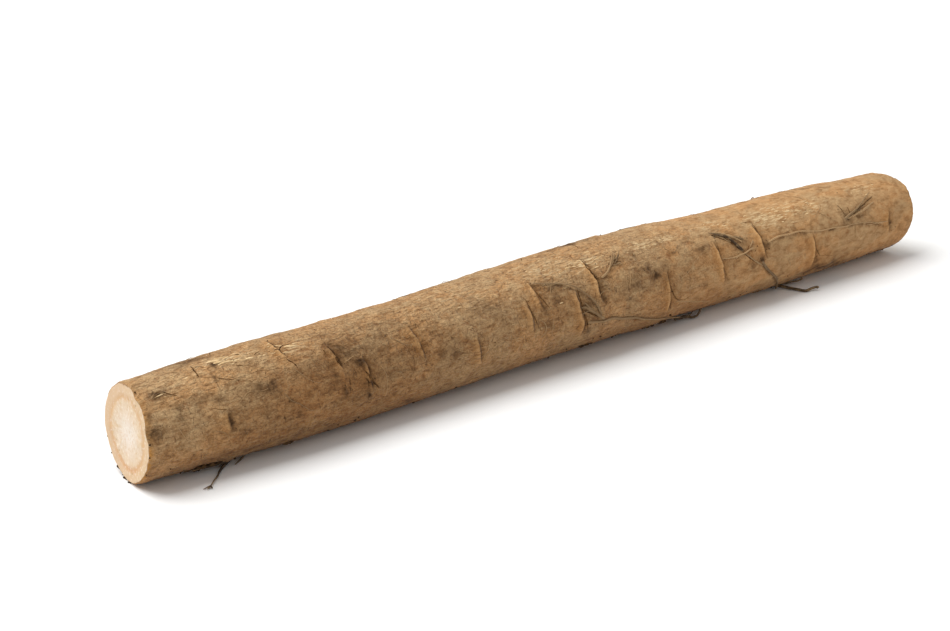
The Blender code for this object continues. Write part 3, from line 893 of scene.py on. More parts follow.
def browned_and_shaded(station, angle):
    """How far damp soil has browned the bark and painted shade has darkened it: in stretches, and
    more towards the underside.
    """
    # The sides and the underside first, darker downwards as painted shade, then the worn top, then
    # each stretch
    upward = np.cos(angle)
    most = 0.45 * ease((0.85 - upward) / 0.75) + 0.20 * ease((-upward - 0.2) / 0.5)
    most = most + 0.25 * polished(station) * ease((upward - 0.3) / 0.5)
    for *place, dark in BROWNED_AND_SHADED:
        most = most + dark * spot(station, angle, *place)
    return np.clip(most, 0.0, 1.0)


def rubbed_and_glint(station, angle):
    """How far short scratches have worn the bark pale here, as wear and as painted glints."""
    most = 0.0
    for *place, pale in RUBBED_AND_GLINTS:
        most = np.maximum(most, pale * spot(station, angle, *place))
    return most


def polished(station):
    """How far handling has worn the bark smooth and pale, more and more towards the far end."""
    return ease((station - POLISHED_FROM) / POLISHED_OVER)


def near_rim(station):
    """1 at the edge of a cut face, where the knife has bared the inner bark."""
    inward = 0.5 * LENGTH - np.abs(station)
    return 1 - ease(inward / RIM_REACH)


def bared(station, angle):
    """How far the knife has bared the golden inner bark at the rim: here and there, and most on the
    near face's low side."""
    places = ease(0.45 + 2.2 * grain(station, angle, "bared places"))
    low_side = hump(
        station, angle, -0.5 * LENGTH, MOST_BARED_ANGLE, MOST_BARED_LENGTH, MOST_BARED_WIDTH
    )
    return near_rim(station) * np.clip(0.15 + 0.6 * places + low_side, 0.0, 1.0)


def face_push(grid):
    """How far each point of a cut face stands along the root: ring, rays and knife marks."""
    across = grid.share * FACE_RADIUS
    y, z = -across * np.sin(grid.angle), across * np.cos(grid.angle)
    ring = np.exp(-(((grid.share - RING_SHARE) / RING_WIDTH) ** 2))
    rays = grain(0 * grid.station, grid.angle, "rays")
    marks = np.sin((0.8 * y + 0.6 * z) / KNIFE_MARK_GAP + 1.5 * grain(y, z * 60, "knife marks"))
    depth = -RING_DEPTH * ring + RAY_HEIGHT * rays * ease((grid.share - 0.2) / 0.3)
    depth = depth + KNIFE_MARK_HEIGHT * marks - HOLLOW_DEPTH * (1 - ease(grid.share / HOLLOW_SHARE))
    outward = np.where(grid.station < 0, -1.0, 1.0)
    return outward * depth * MM * ease((1 - grid.share) / 0.06)


def near_tears(grid):
    """How far the near face stands out along the root, and how far its rim is torn in."""
    out, inward = 0.0, 0.0
    near = near_rim(grid.station) * (grid.station < 0)
    for turn, half, along, deep, start in NEAR_TEARS:
        off = angle_between(grid.angle, math.radians(turn)) / math.radians(half)
        torn = near * np.exp(-(off**2)) * ease((grid.share - start) / (1 - start))
        out, inward = out + along * MM * torn, inward + deep * MM * torn
    return out, inward


def closed_faces(rows, columns):
    """The faces of a closed grid whose first and last rows end in one point each."""
    i, j = np.meshgrid(np.arange(rows - 1), np.arange(columns), indexing="ij")
    k = (j + 1) % columns
    here, above = i * columns, (i + 1) * columns
    quads = np.stack([here + j, here + k, above + k, above + j], -1)
    j = np.arange(columns)
    k = (j + 1) % columns
    first, last = rows * columns, rows * columns + 1
    start = np.stack([np.full(columns, first), k, j], -1)
    tail = (rows - 1) * columns
    end = np.stack([np.full(columns, last), tail + j, tail + k], -1)
    return [*quads.reshape(-1, 4).tolist(), *start.tolist(), *end.tolist()]


def new_piece(name, points, faces, values=None):
    """A mesh object that rides on the root, with a number at each point for each named value."""
    low, high = (np.array(corner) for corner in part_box("burdock_root"))
    points = np.clip(points, low, high)
    mesh = bpy.data.meshes.new(name)
    mesh.from_pydata(points.tolist(), [], faces)
    mesh.shade_smooth()
    for key, numbers in (values or {}).items():
        made = mesh.attributes.new(key, "FLOAT", "POINT")
        made.data.foreach_set("value", np.asarray(numbers, np.float32))
    piece = bpy.data.objects.new(name, mesh)
    bpy.context.scene.collection.objects.link(piece)
    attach(piece, "root")
    return piece


def with_middles(values, middle=0):
    """Grid values as one row, with that of the middle points of the two cut faces after them."""
    return np.concatenate([values.reshape(-1), [middle, middle]])


def build_skin(sizes):
    """The bark and both cut faces as one closed mesh, which stands for the solid."""
    grid = skin_grid()
    station, angle = grid.station, grid.angle
    bark = ease((grid.share - BARK_FROM) / (1 - BARK_FROM))
    rim = near_rim(station)
    ragged = rim * (0.5 + 0.5 * grain(station, angle, "ragged rim"))
    waves = rim * ease(0.5 + 1.5 * grain(station, angle, "rim waves"))
    out, inward = near_tears(grid)
    lift = bark * fine_relief(station, angle, sizes.relief)
    lift = lift - bark * (RIM_RAGGED * ragged + RIM_WAVY * waves) * MM - inward
    points = place_on_root(station, angle, grid.share, lift, face_push(grid) - out)
    hollow = np.array([HOLLOW_DEPTH, -HOLLOW_DEPTH]) * MM
    middles = place_on_root(np.array([-0.5, 0.5]) * LENGTH, np.zeros(2), 0.0, 0.0, hollow)

    dark, pale, warm, lee = crease_lines(station, angle)
    bare = bared(station, angle)
    on_bark = {
        # The crease line and its lee are painted shade, and the crease lip a painted highlight
        "crease_shade_line": dark,
        "crease_lit_lip": pale,
        "crease_warm": 0.50 * warm,
        "crease_lee_shade": 0.55 * lee,
        "browned_and_shaded": browned_and_shaded(station, angle) * (1 - 0.8 * bare),
        "stain_and_shade": stains(station, angle),
        "rubbed_and_glint": rubbed_and_glint(station, angle),
        "polished": polished(station),
        "bared": bare,
    }
    values = {key: with_middles(numbers * bark) for key, numbers in on_bark.items()}
    values["share"] = with_middles(grid.share)
    values["spoke_y"] = with_middles(np.sin(angle))
    values["spoke_z"] = with_middles(np.cos(angle), 1)

    rows, columns = station.shape
    points = np.concatenate([points.reshape(-1, 3), middles])
    piece = new_piece("root_skin", points, closed_faces(rows, columns), values)
    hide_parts("burdock_root")
    on_face = np.repeat(grid.on_face[:-1] & grid.on_face[1:], columns)
    on_face = np.concatenate([on_face, np.ones(2 * columns, bool)])
    piece.data.materials.append(bark_material())
    piece.data.materials.append(flesh_material())
    piece.data.polygons.foreach_set("material_index", on_face.astype(np.int32))


class Thread(NamedTuple):
    """A round piece of root: the points along its middle and its radius at each."""

    places: np.ndarray
    radii: np.ndarray


def shaken(count, draw):
    """Three random numbers from -1 to 1 for each of count points."""
    return np.array([[draw.uniform(-1, 1) for _ in range(3)] for _ in range(count)])


def wobble(count, step, size, wave, draw):
    """Smooth random sideways moves along a thread, none at its start."""
    knots = max(3, int(count * step / wave) + 3)
    loose = shaken(knots, draw)
    at = np.linspace(0, knots - 1.001, count)
    moves = np.stack([through(loose[:, k], at / (knots - 1)) for k in range(3)], -1)
    return size * moves * ease(np.arange(count) * step / (4 * MM))[:, None]


def thread_radii(root, along, draw, tip):
    """Thick and flared where it leaves the bark, thin at the end, and never quite even."""
    base = 0.5 * root.thickness * MM
    radii = base + (tip - base) * along**0.9
    radii = radii * (1 + 0.45 * np.exp(-along * root.length / 1.6))
    uneven = np.array([draw.uniform(-1, 1) for _ in range(len(along))])
    uneven = np.convolve(uneven, [0.25, 0.5, 0.25], "same")
    return radii * (1 + 0.16 * uneven)


def thread_headings(root, step):
    """How far along a side root its points are, its step, and its heading at each point."""
    count = max(8, round(root.length * MM / step)) + 1
    along = np.linspace(0, 1, count)
    sway = root.sway * np.sin(2 * math.pi * along)
    heading = np.radians(root.heading + root.turn * along + sway)
    return along, root.length * MM / (count - 1), heading


def walked(start, steps):
    """The places of a walk that starts at start and takes each of the steps but the last."""
    return start + np.concatenate([[0], np.cumsum(steps)[:-1]])


def bark_path(root, step):
    """Where a side root along the bark passes: how far along it, its step, stations and angles."""
    along, stride, heading = thread_headings(root, step)
    x = walked(root.station * MM, stride * np.cos(heading))
    radius = through(STATION_RADII, share_of(x))
    return along, stride, x, walked(math.radians(root.angle), stride * np.sin(heading) / radius)


def bark_thread(root, draw, tip, depth):
    """A side root along the bark, on the same path as in the solid."""
    along, stride, x, angle = bark_path(root, THREAD_STEP)
    radii = thread_radii(root, along, draw, tip)
    off = max(root.stand, 0) * np.sin(math.pi * along) + root.tip * ease((along - 0.55) / 0.45)
    sunk = 1.6 * root.thickness * MM * np.exp(-along * root.length / 1.2)
    lift = off * MM + 0.6 * radii - sunk + fine_relief(x, angle, depth)
    places = place_on_root(x, angle, 1.0, lift)
    places = places + wobble(len(along), stride, 0.30 * MM, 6 * MM, draw)
    places[:, 2] = np.maximum(places[:, 2], THREAD_CLEARANCE * radii)
    return Thread(places, radii)


def bark_fork(root, draw, tip, depth):
    """A finer root that leaves a side root and lies on the bark too."""
    along, _, x, angle = bark_path(root, THREAD_STEP)
    k = int(draw.uniform(0.4, 0.85) * len(along))
    heading = root.heading + root.turn * along[k] + draw.choice((-1, 1)) * draw.uniform(20, 50)
    branch = SideRoot(
        station=x[k] / MM,
        angle=math.degrees(angle[k]),
        heading=heading,
        turn=draw.uniform(-60, 60),
        sway=10,
        length=draw.uniform(2.0, 6.0),
        thickness=0.42,
        stand=0.1,
        tip=0.1,
    )
    return bark_thread(branch, draw, tip, depth)


def floor_thread(root, draw, tip):
    """A side root that lies on the surface, on the same path as in the solid."""
    along, stride, heading = thread_headings(root, THREAD_STEP)
    x = walked(root.station * MM, stride * np.cos(heading))
    out = walked(root.out * MM, stride * np.sin(heading))
    radii = thread_radii(root, along, draw, tip)
    middle = through(STATION_SIDES, share_of(root.station * MM))
    height = 1.2 * radii + root.tip * MM * ease((along - 0.55) / 0.45)
    height = height + 1.1 * MM * np.exp(-along * root.length / 1.5)
    places = np.stack([x, middle - root.side * out, height], -1)
    places = places + wobble(len(along), stride, 0.35 * MM, 5 * MM, draw) * [1, 1, 0.3]
    places[:, 2] = np.maximum(places[:, 2], 1.1 * radii)
    return Thread(places, radii)


def line_thread(line, draw, sunk, blunt, depth):
    """A thread along a line over the bark, sunk into it by a share of its radius. Its ends are
    the thinner, the less blunt they are."""
    places = np.array(line.places, float)
    spread = np.hypot(np.diff(places[:, 0]), MM_PER_DEGREE * np.diff(places[:, 1]))
    count = max(7, round(spread.sum() * MM / LINE_STEP))
    along = np.linspace(0, 1, count)
    loose = shaken(count, draw)
    x = through(places[:, 0], along) * MM + 0.10 * MM * loose[:, 0]
    angle = np.radians(through(places[:, 1], along)) + 0.006 * loose[:, 1]
    radii = 0.5 * line.thickness * MM * (blunt + (1 - blunt) * np.sin(math.pi * along))
    radii = radii * (1 + 0.25 * loose[:, 2])
    lift = fine_relief(x, angle, depth) - sunk * radii
    return Thread(place_on_root(x, angle, 1.0, lift), radii)


def loose_thread(first, last, places):
    """A thread clear of the bark, through places in millimetres."""
    count = 4 * len(places)
    along = np.linspace(0, 1, count)
    path = np.stack([through(np.array(places)[:, k], along) for k in range(3)], -1) * MM
    return Thread(path, 0.5 * MM * (first + (last - first) * along))


def fork(parent, at, turn, length, radius, draw):
    """A finer root that leaves a thread at a share of its length, off to one side."""
    k = min(int(at * len(parent.places)), len(parent.places) - 2)
    ahead = parent.places[k + 1] - parent.places[k]
    ahead = ahead / np.linalg.norm(ahead)
    side = np.cross(ahead, [0, 0, 1]) * math.sin(math.radians(turn))
    way = ahead * math.cos(math.radians(turn)) + side
    count = max(6, round(length / 0.7))
    along = np.linspace(0, 1, count)
    places = parent.places[k] + along[:, None] * length * MM * way
    places = places + wobble(count, length * MM / count, 0.5 * MM, 4 * MM, draw)
    radii = radius * MM * (1 - 0.6 * along)
    places[:, 2] = np.maximum(places[:, 2], THREAD_CLEARANCE * radii)
    return Thread(places, radii)


def tube(thread, sides):
    """The points and faces of a closed tube along a thread."""
    places, radii = thread
    ahead = np.gradient(places, axis=0)
    ahead /= np.maximum(np.linalg.norm(ahead, axis=1, keepdims=True), 1e-12)
    # A tube's corners start square to a direction that no thread starts in
    side = np.cross(ahead[0], [0.31, 0.52, 0.79])
    rings = []
    for place, radius, way in zip(places, radii, ahead):
        side = side - way * (side @ way)
        side = side / np.linalg.norm(side)
        other = np.cross(way, side)
        turn = np.arange(sides) * 2 * math.pi / sides
        ring = np.cos(turn)[:, None] * side + np.sin(turn)[:, None] * other
        rings.append(place + radius * ring)
    tips = [places[0] - ahead[0] * radii[0] * 0.5, places[-1] + ahead[-1] * radii[-1]]
    points = np.concatenate([np.concatenate(rings), tips])
    return points, closed_faces(len(places), sides)


def threads_piece(name, threads, sides, tints):
    """One mesh of many threads, with how far along each point is and its thread's own tint."""
    points, faces, reach, tint = [], [], [], []
    passed = 0
    for thread, shade in zip(threads, tints):
        made, own = tube(thread, sides)
        points.append(made)
        faces += [[passed + k for k in face] for face in own]
        along = np.repeat(np.linspace(0, 1, len(thread.places)), sides)
        reach.append(np.concatenate([along, [0, 1]]))
        tint.append(np.full(len(made), shade))
        passed += len(made)
    values = {"reach": np.concatenate(reach), "tint": np.concatenate(tint)}
    return new_piece(name, np.concatenate(points), faces, values)


def build_side_roots(sizes):
    """The dried side roots, along the bark and on the surface, with their finer branches."""
    draw = random.Random(SEED + 11)
    plain = [(draw.uniform(0.2, 0.9), 1.0) for _ in range(HIDDEN_SIDE_ROOTS)]
    flat = [root._replace(stand=0.2, tip=0.2) for root in SIDE_ROOTS[len(SEEN_SIDE_ROOTS) :]]
    made = []
    for root, (tint, share) in zip([*SEEN_SIDE_ROOTS, *flat], [*SIDE_ROOT_LOOKS, *plain]):
        made.append((bark_thread(root, draw, SIDE_ROOT_TIP, sizes.relief), share, tint))
        for _ in range(draw.choice((0, 1, 1, 2))):
            made.append((bark_fork(root, draw, SIDE_ROOT_TIP, sizes.relief), 1.0, tint))
    plain = [(draw.uniform(0.6, 1.0), 1.0) for _ in HIDDEN_FLOOR_ROOTS]
    for k, (root, (tint, share)) in enumerate(zip(FLOOR_ROOTS, [*FLOOR_ROOT_LOOKS, *plain])):
        if not share:
            continue
        thread = floor_thread(root, draw, SIDE_ROOT_TIP)
        made.append((thread, share, tint))
        at, branches = FLOOR_ROOT_SPLITS.get(k, (0, ()))
        for turn, length in branches:
            made.append((fork(thread, at, turn, length, 0.24, draw), 1.0, tint))
    for first, last, tint, places in LOOSE_ENDS:
        made.append((loose_thread(first, last, places), 1.0, tint))
    thickness = sizes.side_root_thickness
    threads = [Thread(thread.places, thread.radii * share * thickness) for thread, share, _ in made]
    piece = threads_piece("side_roots", threads, SIDE_ROOT_CORNERS, [tint for _, _, tint in made])
    piece.data.materials.append(side_root_material())


def build_hair_roots(sizes):
    """Hair roots, which lie along the bark in short loose curves, and a few thicker strands."""
    draw = random.Random(SEED + 21)
    threads = [line_thread(line, draw, -0.5, 0.45, sizes.relief) for line in STRANDS]
    tints = [line.tint for line in STRANDS]
    for _ in range(sizes.hair_roots):
        hair = SideRoot(
            station=draw.uniform(-140, 138),
            angle=draw.choice((-1, 1)) * draw.uniform(25, 150),
            heading=draw.uniform(0, 360),
            turn=draw.uniform(-90, 90),
            sway=draw.uniform(-30, 30),
            length=draw.uniform(3, 13),
            thickness=draw.uniform(0.12, 0.24),
            stand=draw.uniform(0.0, 0.10),
            tip=draw.uniform(0.0, 0.15),
        )
        threads.append(bark_thread(hair, draw, HAIR_ROOT_TIP, sizes.relief))
        tints.append(draw.uniform(0.0, 0.5))
    piece = threads_piece("hair_roots", threads, FINE_CORNERS, tints)
    piece.data.materials.append(side_root_material())


def build_soil_cracks(sizes):
    """Fine cracks of the bark, filled with dark soil, and dark lines along the crease steps that
    are painted shade.
    """
    draw = random.Random(SEED + 41)
    lines = list(SEEN_CRACKS_AND_STEP_SHADE)
    for _ in range(HIDDEN_CRACKS):
        x, turn = draw.uniform(-140, 138), draw.uniform(165, 350)
        along, around = draw.uniform(-3, 3), draw.uniform(3, 22)
        places = ((x, turn), (x + 0.4 * along, turn + 0.5 * around), (x + along, turn + around))
        lines.append(Line(draw.uniform(0.3, 0.6), draw.uniform(0.6, 1.0), places))
    threads = [line_thread(line, draw, 0.45, 0.30, sizes.relief) for line in lines]
    piece = threads_piece("soil_cracks", threads, FINE_CORNERS, [line.tint for line in lines])
    piece.data.materials.append(crack_material())


def build_flecks(sizes):
    """Small pale flecks of peeled cork, lens shaped, with their edges in the bark. Their pale
    colour is also a painted glint.
    """
    draw = random.Random(SEED + 51)
    spots = list(SEEN_FLECKS)
    for _ in range(LOOSE_FLECKS):
        x, turn, along, around, _ = draw.choice(RUBBED_AND_GLINTS)
        x, turn = draw.gauss(x, 0.6 * along), draw.gauss(turn, 0.6 * around)
        spots.append((x, turn, draw.uniform(0.35, 0.7)))
    count = FLECK_CORNERS
    points, faces = [], []
    for x, turn, size in spots:
        lean, long = draw.uniform(-0.12, 0.30), size * draw.uniform(1.0, 2.0)
        wide = size * draw.uniform(0.26, 0.44)
        corners = []
        for out, rise in ((1.0, -0.08), (0.6, 0.10 * size)):
            for k in range(count):
                way = 2 * math.pi * k / count
                u = long * out * math.cos(way) * draw.uniform(0.75, 1.2)
                v = wide * out * math.sin(way) * draw.uniform(0.75, 1.2)
                corners.append((x + u, turn + (v + lean * u) / MM_PER_DEGREE, rise))
        corners += [(x, turn, 0.14 * size), (x, turn, -0.3)]
        station, angle, lift = np.array(corners).T
        station, angle = station * MM, np.radians(angle)
        lift = lift * MM + fine_relief(station, angle, sizes.relief)
        first = len(corners) * len(points)
        top, bottom = first + 2 * count, first + 2 * count + 1
        for k in range(count):
            low, low_next = first + k, first + (k + 1) % count
            faces += [
                [low, low_next, low_next + count, low + count],
                [low + count, low_next + count, top],
                [low_next, low, bottom],
            ]
        points.append(place_on_root(station, angle, 1.0, lift))
    piece = new_piece("cork_flecks_and_glints", np.concatenate(points), faces)
    piece.data.materials.append(fleck_material())


def lump(size, draw):
    """The corners of a small uneven lump round the origin."""
    uneven = np.array([[draw.uniform(0.65, 1.25)] for _ in LUMP_CORNERS])
    axis = Vector([draw.uniform(-1, 1) for _ in range(3)])
    spin = Matrix.Rotation(draw.uniform(0, 6.3), 3, axis)
    stretch = [draw.uniform(0.7, 1.3) for _ in range(3)]
    return size * (LUMP_CORNERS * uneven * stretch) @ np.array(spin)


def crumb_spots(sizes, draw):
    """Where crumbs lie on the bark: station, angle, size and how far off it, in mm and degrees."""
    spots = [(RIM_CRUMBS_STATION, *crumb, RIM_CRUMBS_LIFT) for crumb in RIM_CRUMBS]
    spots += [(RIM_SPECKS_STATION, *speck, RIM_SPECKS_LIFT) for speck in RIM_SPECKS]
    for root in SIDE_ROOTS:
        for _ in range(3):
            x, turn = root.station + draw.gauss(0, 1.6), root.angle + draw.gauss(0, 6)
            spots.append((x, turn, draw.uniform(0.10, 0.22), CRUMB_LIFT))
    for crease in CREASES:
        for _ in range(2):
            turn = crease.angle + draw.uniform(-1, 1) * crease.half_span
            x = crease.station + draw.uniform(0.2, 1.2)
            spots.append((x, turn, draw.uniform(0.1, 0.2), CRUMB_LIFT))
    for count, reach, turns, crumb in (
        (LOW_CRUMBS, (-148, 146), (122, 150), (0.14, 0.42)),
        (sizes.loose_crumbs, (-148, 148), (0, 360), (0.08, 0.18)),
    ):
        for _ in range(count):
            x, turn = draw.uniform(*reach), draw.uniform(*turns)
            spots.append((x, turn, draw.uniform(*crumb), CRUMB_LIFT))
    return spots


def build_soil_crumbs(sizes):
    """Crumbs of dried soil, which cling where side roots leave the bark, in creases and at the
    lower edge of the near cut face."""
    draw = random.Random(SEED + 31)
    lumps = []
    for x, turn, size, lift in crumb_spots(sizes, draw):
        place = place_on_root(x * MM, math.radians(turn), 1.0, lift * MM)
        lumps.append(place + lump(size * MM, draw))
    for (x, y, z), size in SOIL_KNOTS:
        for _ in range(5):
            place = np.array([x + draw.gauss(0, 0.8), y + draw.gauss(0, 0.4), z]) * MM
            lumps.append(place + lump(size * MM * draw.uniform(0.5, 1.0), draw))
    for x, turn, long, wide in SCRAPS:
        for _ in range(6):
            at = draw.uniform(x - 0.5 * long, x + 0.5 * long) * MM
            place = place_on_root(at, math.radians(turn + draw.uniform(-3, 3)), 1.0, SCRAP_LIFT)
            lumps.append(place + lump(wide * MM * draw.uniform(0.6, 1.0), draw) * SCRAP_STRETCH)
    points = np.concatenate(lumps)
    points[:, 2] = np.maximum(points[:, 2], FLOOR_GAP)
    corners = len(LUMP_CORNERS)
    faces = [[corners * n + k for k in face] for n in range(len(lumps)) for face in LUMP_FACES]
    piece = new_piece("soil_crumbs", points, faces)
    piece.data.materials.append(soil_material())


# Materials


def linear(hex_colour):
    """An sRGB hex colour, such as b08a5c, as linear red, green, blue and alpha."""
    channels = [int(hex_colour[k : k + 2], 16) / 255 for k in (0, 2, 4)]
    return (*(c / 12.92 if c <= 0.04045 else ((c + 0.055) / 1.055) ** 2.4 for c in channels), 1.0)


def add(tree, kind, inputs=None, **settings):
    """Adds a node. Each input, by name or number, is given a value or the socket that feeds it. In
    a colour mix 0 is the share of the second colour, and 6 and 7 are the two colours. In a map
    range 1 and 2 are where it starts and ends, and 3 and 4 what it gives there."""
    made = tree.nodes.new(kind)
    for name, value in settings.items():
        setattr(made, name, value)
    for name, value in (inputs or {}).items():
        if isinstance(value, bpy.types.NodeSocket):
            tree.links.new(value, made.inputs[name])
        else:
            made.inputs[name].default_value = value
    return made


def new_material(name, roughness, specular):
    """A material and its tree, with the shader's plain numbers set."""
    made = bpy.data.materials.new(name)
    made.use_nodes = True
    shader = made.node_tree.nodes["Principled BSDF"]
    shader.inputs["Roughness"].default_value = roughness
    shader.inputs["Specular IOR Level"].default_value = specular
    shader.inputs["IOR"].default_value = 1.45
    return made, made.node_tree, shader


def per_mm(along, across):
    """The mapping scale of a pattern whose cells are along mm long and across mm wide."""
    return (1 / (along * MM), 1 / (across * MM), 1 / (across * MM))


def bark_material():
    """Dried cork bark with soil dust in it: tan and scratched pale where it has been worn, warm
    brown where it has flaked and grey brown where dust sits. Fibres run along it, fine cracks
    across it, and a net of small wrinkles covers it. Its colour also holds painted light and shade:
    glints in the pale scratches, highlights on the crease lips and raised parts, and shade in the
    hollows, the crease lines and their lees, under the side roots and towards the underside. It is
    dull all over, and a little sheen gives it the pale bloom of dust where it turns away."""
    made, tree, shader = new_material("dusty cork bark", 0.88, 0.2)
    shader.inputs["Sheen Weight"].default_value = 0.09
    shader.inputs["Sheen Roughness"].default_value = 0.25
    at = add(tree, "ShaderNodeTexCoord").outputs["Object"]
    value = {
        key: add(tree, "ShaderNodeAttribute", attribute_name=key).outputs["Fac"]
        for key in (
            "crease_shade_line", "crease_lit_lip", "crease_warm", "crease_lee_shade", "stain_and_shade", "browned_and_shaded",
            "rubbed_and_glint", "polished", "bared",
        )
    }
    # Each pattern: its name, its cell along and across the root in millimetres, and its finer parts
    for key, along, across, detail, roughness, bend in (
        ("patch", 15, 9, 3, 0.55, 0.8),
        ("mottle", 3.4, 2.4, 4, 0.60, 0.5),
        ("fibre", 3.6, 0.8, 4, 0.58, 0.7),
        ("crack", 0.7, 2.8, 3, 0.55, 1.2),
        ("grain", 1.0, 0.8, 3, 0.60, 0.4),
        ("scratch", 3.0, 0.55, 2, 0.50, 0.8),
        ("blotch", 2.6, 1.9, 4, 0.65, 0.9),
    ):
        scaled = add(tree, "ShaderNodeMapping", {"Vector": at, "Scale": per_mm(along, across)})
        value[key] = add(
            tree,
            "ShaderNodeTexNoise",
            {"Vector": scaled.outputs[0], "Scale": 1.0, "Detail": detail, "Roughness": roughness,
             "Distortion": bend},
        ).outputs["Fac"]
    # The net of wrinkles has its cells bent out of shape by a finer noise
    loose = add(
        tree, "ShaderNodeTexNoise", {"Vector": at, "Scale": 1 / (1.6 * MM), "Detail": 2.0}
    ).outputs["Color"]
    scaled = add(tree, "ShaderNodeMapping", {"Vector": at, "Scale": per_mm(2.1, 1.3)}).outputs[0]
    bent = add(
        tree,
        "ShaderNodeVectorMath",
        {0: loose, 1: (1.3, 1.3, 1.3), 2: scaled},
        operation="MULTIPLY_ADD",
    ).outputs[0]
    scaled = add(tree, "ShaderNodeMapping", {"Vector": at, "Scale": per_mm(2.9, 2.3)}).outputs[0]
    for key, place, feature in (("net", bent, "DISTANCE_TO_EDGE"), ("dot", scaled, "F1")):
        value[key] = add(
            tree, "ShaderNodeTexVoronoi", {"Vector": place, "Scale": 1.0}, feature=feature
        ).outputs["Distance"]

    # The dark masks of mottle, fibre, grain, net and crack lie where the bump is low and the light
    # ones where it is high, so besides the bark's own grain they paint shade into its hollows and
    # light onto its raised parts
    # Each mask: its name, the pattern it reads, where it starts and is full, and how strong it gets
    for key, source, start, full, most in (
        ("warm", "patch", 0.42, 0.60, 1.00),
        ("hollow", "mottle", 0.50, 0.32, 0.68),
        ("raised", "mottle", 0.52, 0.70, 0.55),
        ("fibre_dark", "fibre", 0.47, 0.31, 0.55),
        ("fibre_light", "fibre", 0.54, 0.72, 0.52),
        ("grain_dark", "grain", 0.46, 0.30, 0.62),
        ("grain_light", "grain", 0.55, 0.72, 0.50),
        ("net_dark", "net", 0.09, 0.0, 0.34),
        ("rusty", "blotch", 0.55, 0.68, 0.50),
        ("cracked", "crack", 0.38, 0.27, 0.85),
        ("few", "mottle", 0.50, 0.42, 1.00),
        ("dots", "dot", 0.15, 0.06, 0.60),
        # Pale scratches where the bark is worn, which also paint glints
        ("thin", "scratch", 0.52, 0.63, 1.00),
        ("broken", "fibre", 0.30, 0.54, 1.00),
        ("bare", "mottle", 0.38, 0.56, 0.92),
    ):
        value[key] = add(
            tree, "ShaderNodeMapRange", {0: value[source], 1: start, 2: full, 4: most}
        ).outputs[0]
    patchy = add(
        tree, "ShaderNodeMapRange", {0: value["mottle"], 1: 0.66, 2: 0.36, 3: 0.25, 4: 1.25}
    ).outputs[0]
    # Handling has worn the fine patterns away, and the fibres only in part
    unworn, half_worn = (
        add(tree, "ShaderNodeMapRange", {0: value["polished"], 3: 1.0, 4: left}).outputs[0]
        for left in (0.22, 0.50)
    )
    for keys, other in (
        (("few", "grain_dark", "grain_light", "net_dark", "cracked"), unworn),
        (("dots",), "few"),
        (("fibre_dark", "fibre_light"), half_worn),
        (("thin",), "rubbed_and_glint"),
        (("crease_lit_lip",), "broken"),
        (("bare",), "bared"),
        (("stain_and_shade",), patchy),
    ):
        for key in keys:
            factors = {0: value[key], 1: value.get(other, other)}
            value[key] = add(
                tree, "ShaderNodeMath", factors, operation="MULTIPLY", use_clamp=True
            ).outputs[0]

    soil = (*bpy.context.scene.burdock_colours.soil, 1.0)
    colour = linear("c09b6f")
    for key, tone in (
        ("warm", linear("cb9b68")),
        ("hollow", linear("90683e")),
        ("raised", linear("dcba8a")),
        ("fibre_dark", linear("7f5a39")),
        ("fibre_light", linear("ddba8b")),
        ("rusty", linear("9c6639")),
        ("crease_warm", linear("bd8243")),
        ("grain_dark", linear("755233")),
        ("grain_light", linear("e0bd90")),
        ("net_dark", linear("6c5032")),
        ("cracked", linear("5a4026")),
        ("dots", linear("4d351d")),
        # The pale scratch tone is worn bark and a painted glint
        ("thin", linear("ecd0a2")),
        # A crease lip's pale tone is a painted highlight, and the tones of its lee and of its line
        # are painted shade
        ("crease_lit_lip", linear("e2b27a")),
        ("bare", linear("bd8440")),
        ("crease_lee_shade", linear("6a4a2a")),
        # The stain tone is soil, and also the painted shade that some stains and the side roots'
        # shadows carry
        ("stain_and_shade", soil),
        ("crease_shade_line", linear("402913")),
    ):
        colour = add(
            tree, "ShaderNodeMix", {0: value[key], 6: colour, 7: tone}, data_type="RGBA"
        ).outputs[2]
    # Browning by soil, and painted shade towards the underside and in some stretches
    colour = add(
        tree,
        "ShaderNodeMix",
        {0: value["browned_and_shaded"], 6: colour, 7: (0.64, 0.56, 0.48, 1.0)},
        data_type="RGBA",
        blend_type="MULTIPLY",
    ).outputs[2]
    tree.links.new(colour, shader.inputs["Base Color"])

    # The relief that is too fine for the mesh, in millimetres
    height = 0.0
    for key, deep in (
        ("mottle", 0.80), ("fibre", 0.66), ("crack", 0.44), ("grain", 0.46), ("net", 0.40),
    ):
        height = add(
            tree, "ShaderNodeMath", {0: value[key], 1: deep, 2: height}, operation="MULTIPLY_ADD"
        ).outputs[0]
    bump = add(tree, "ShaderNodeBump", {"Height": height, "Distance": MM, "Strength": unworn})
    tree.links.new(bump.outputs[0], shader.inputs["Normal"])
    return made


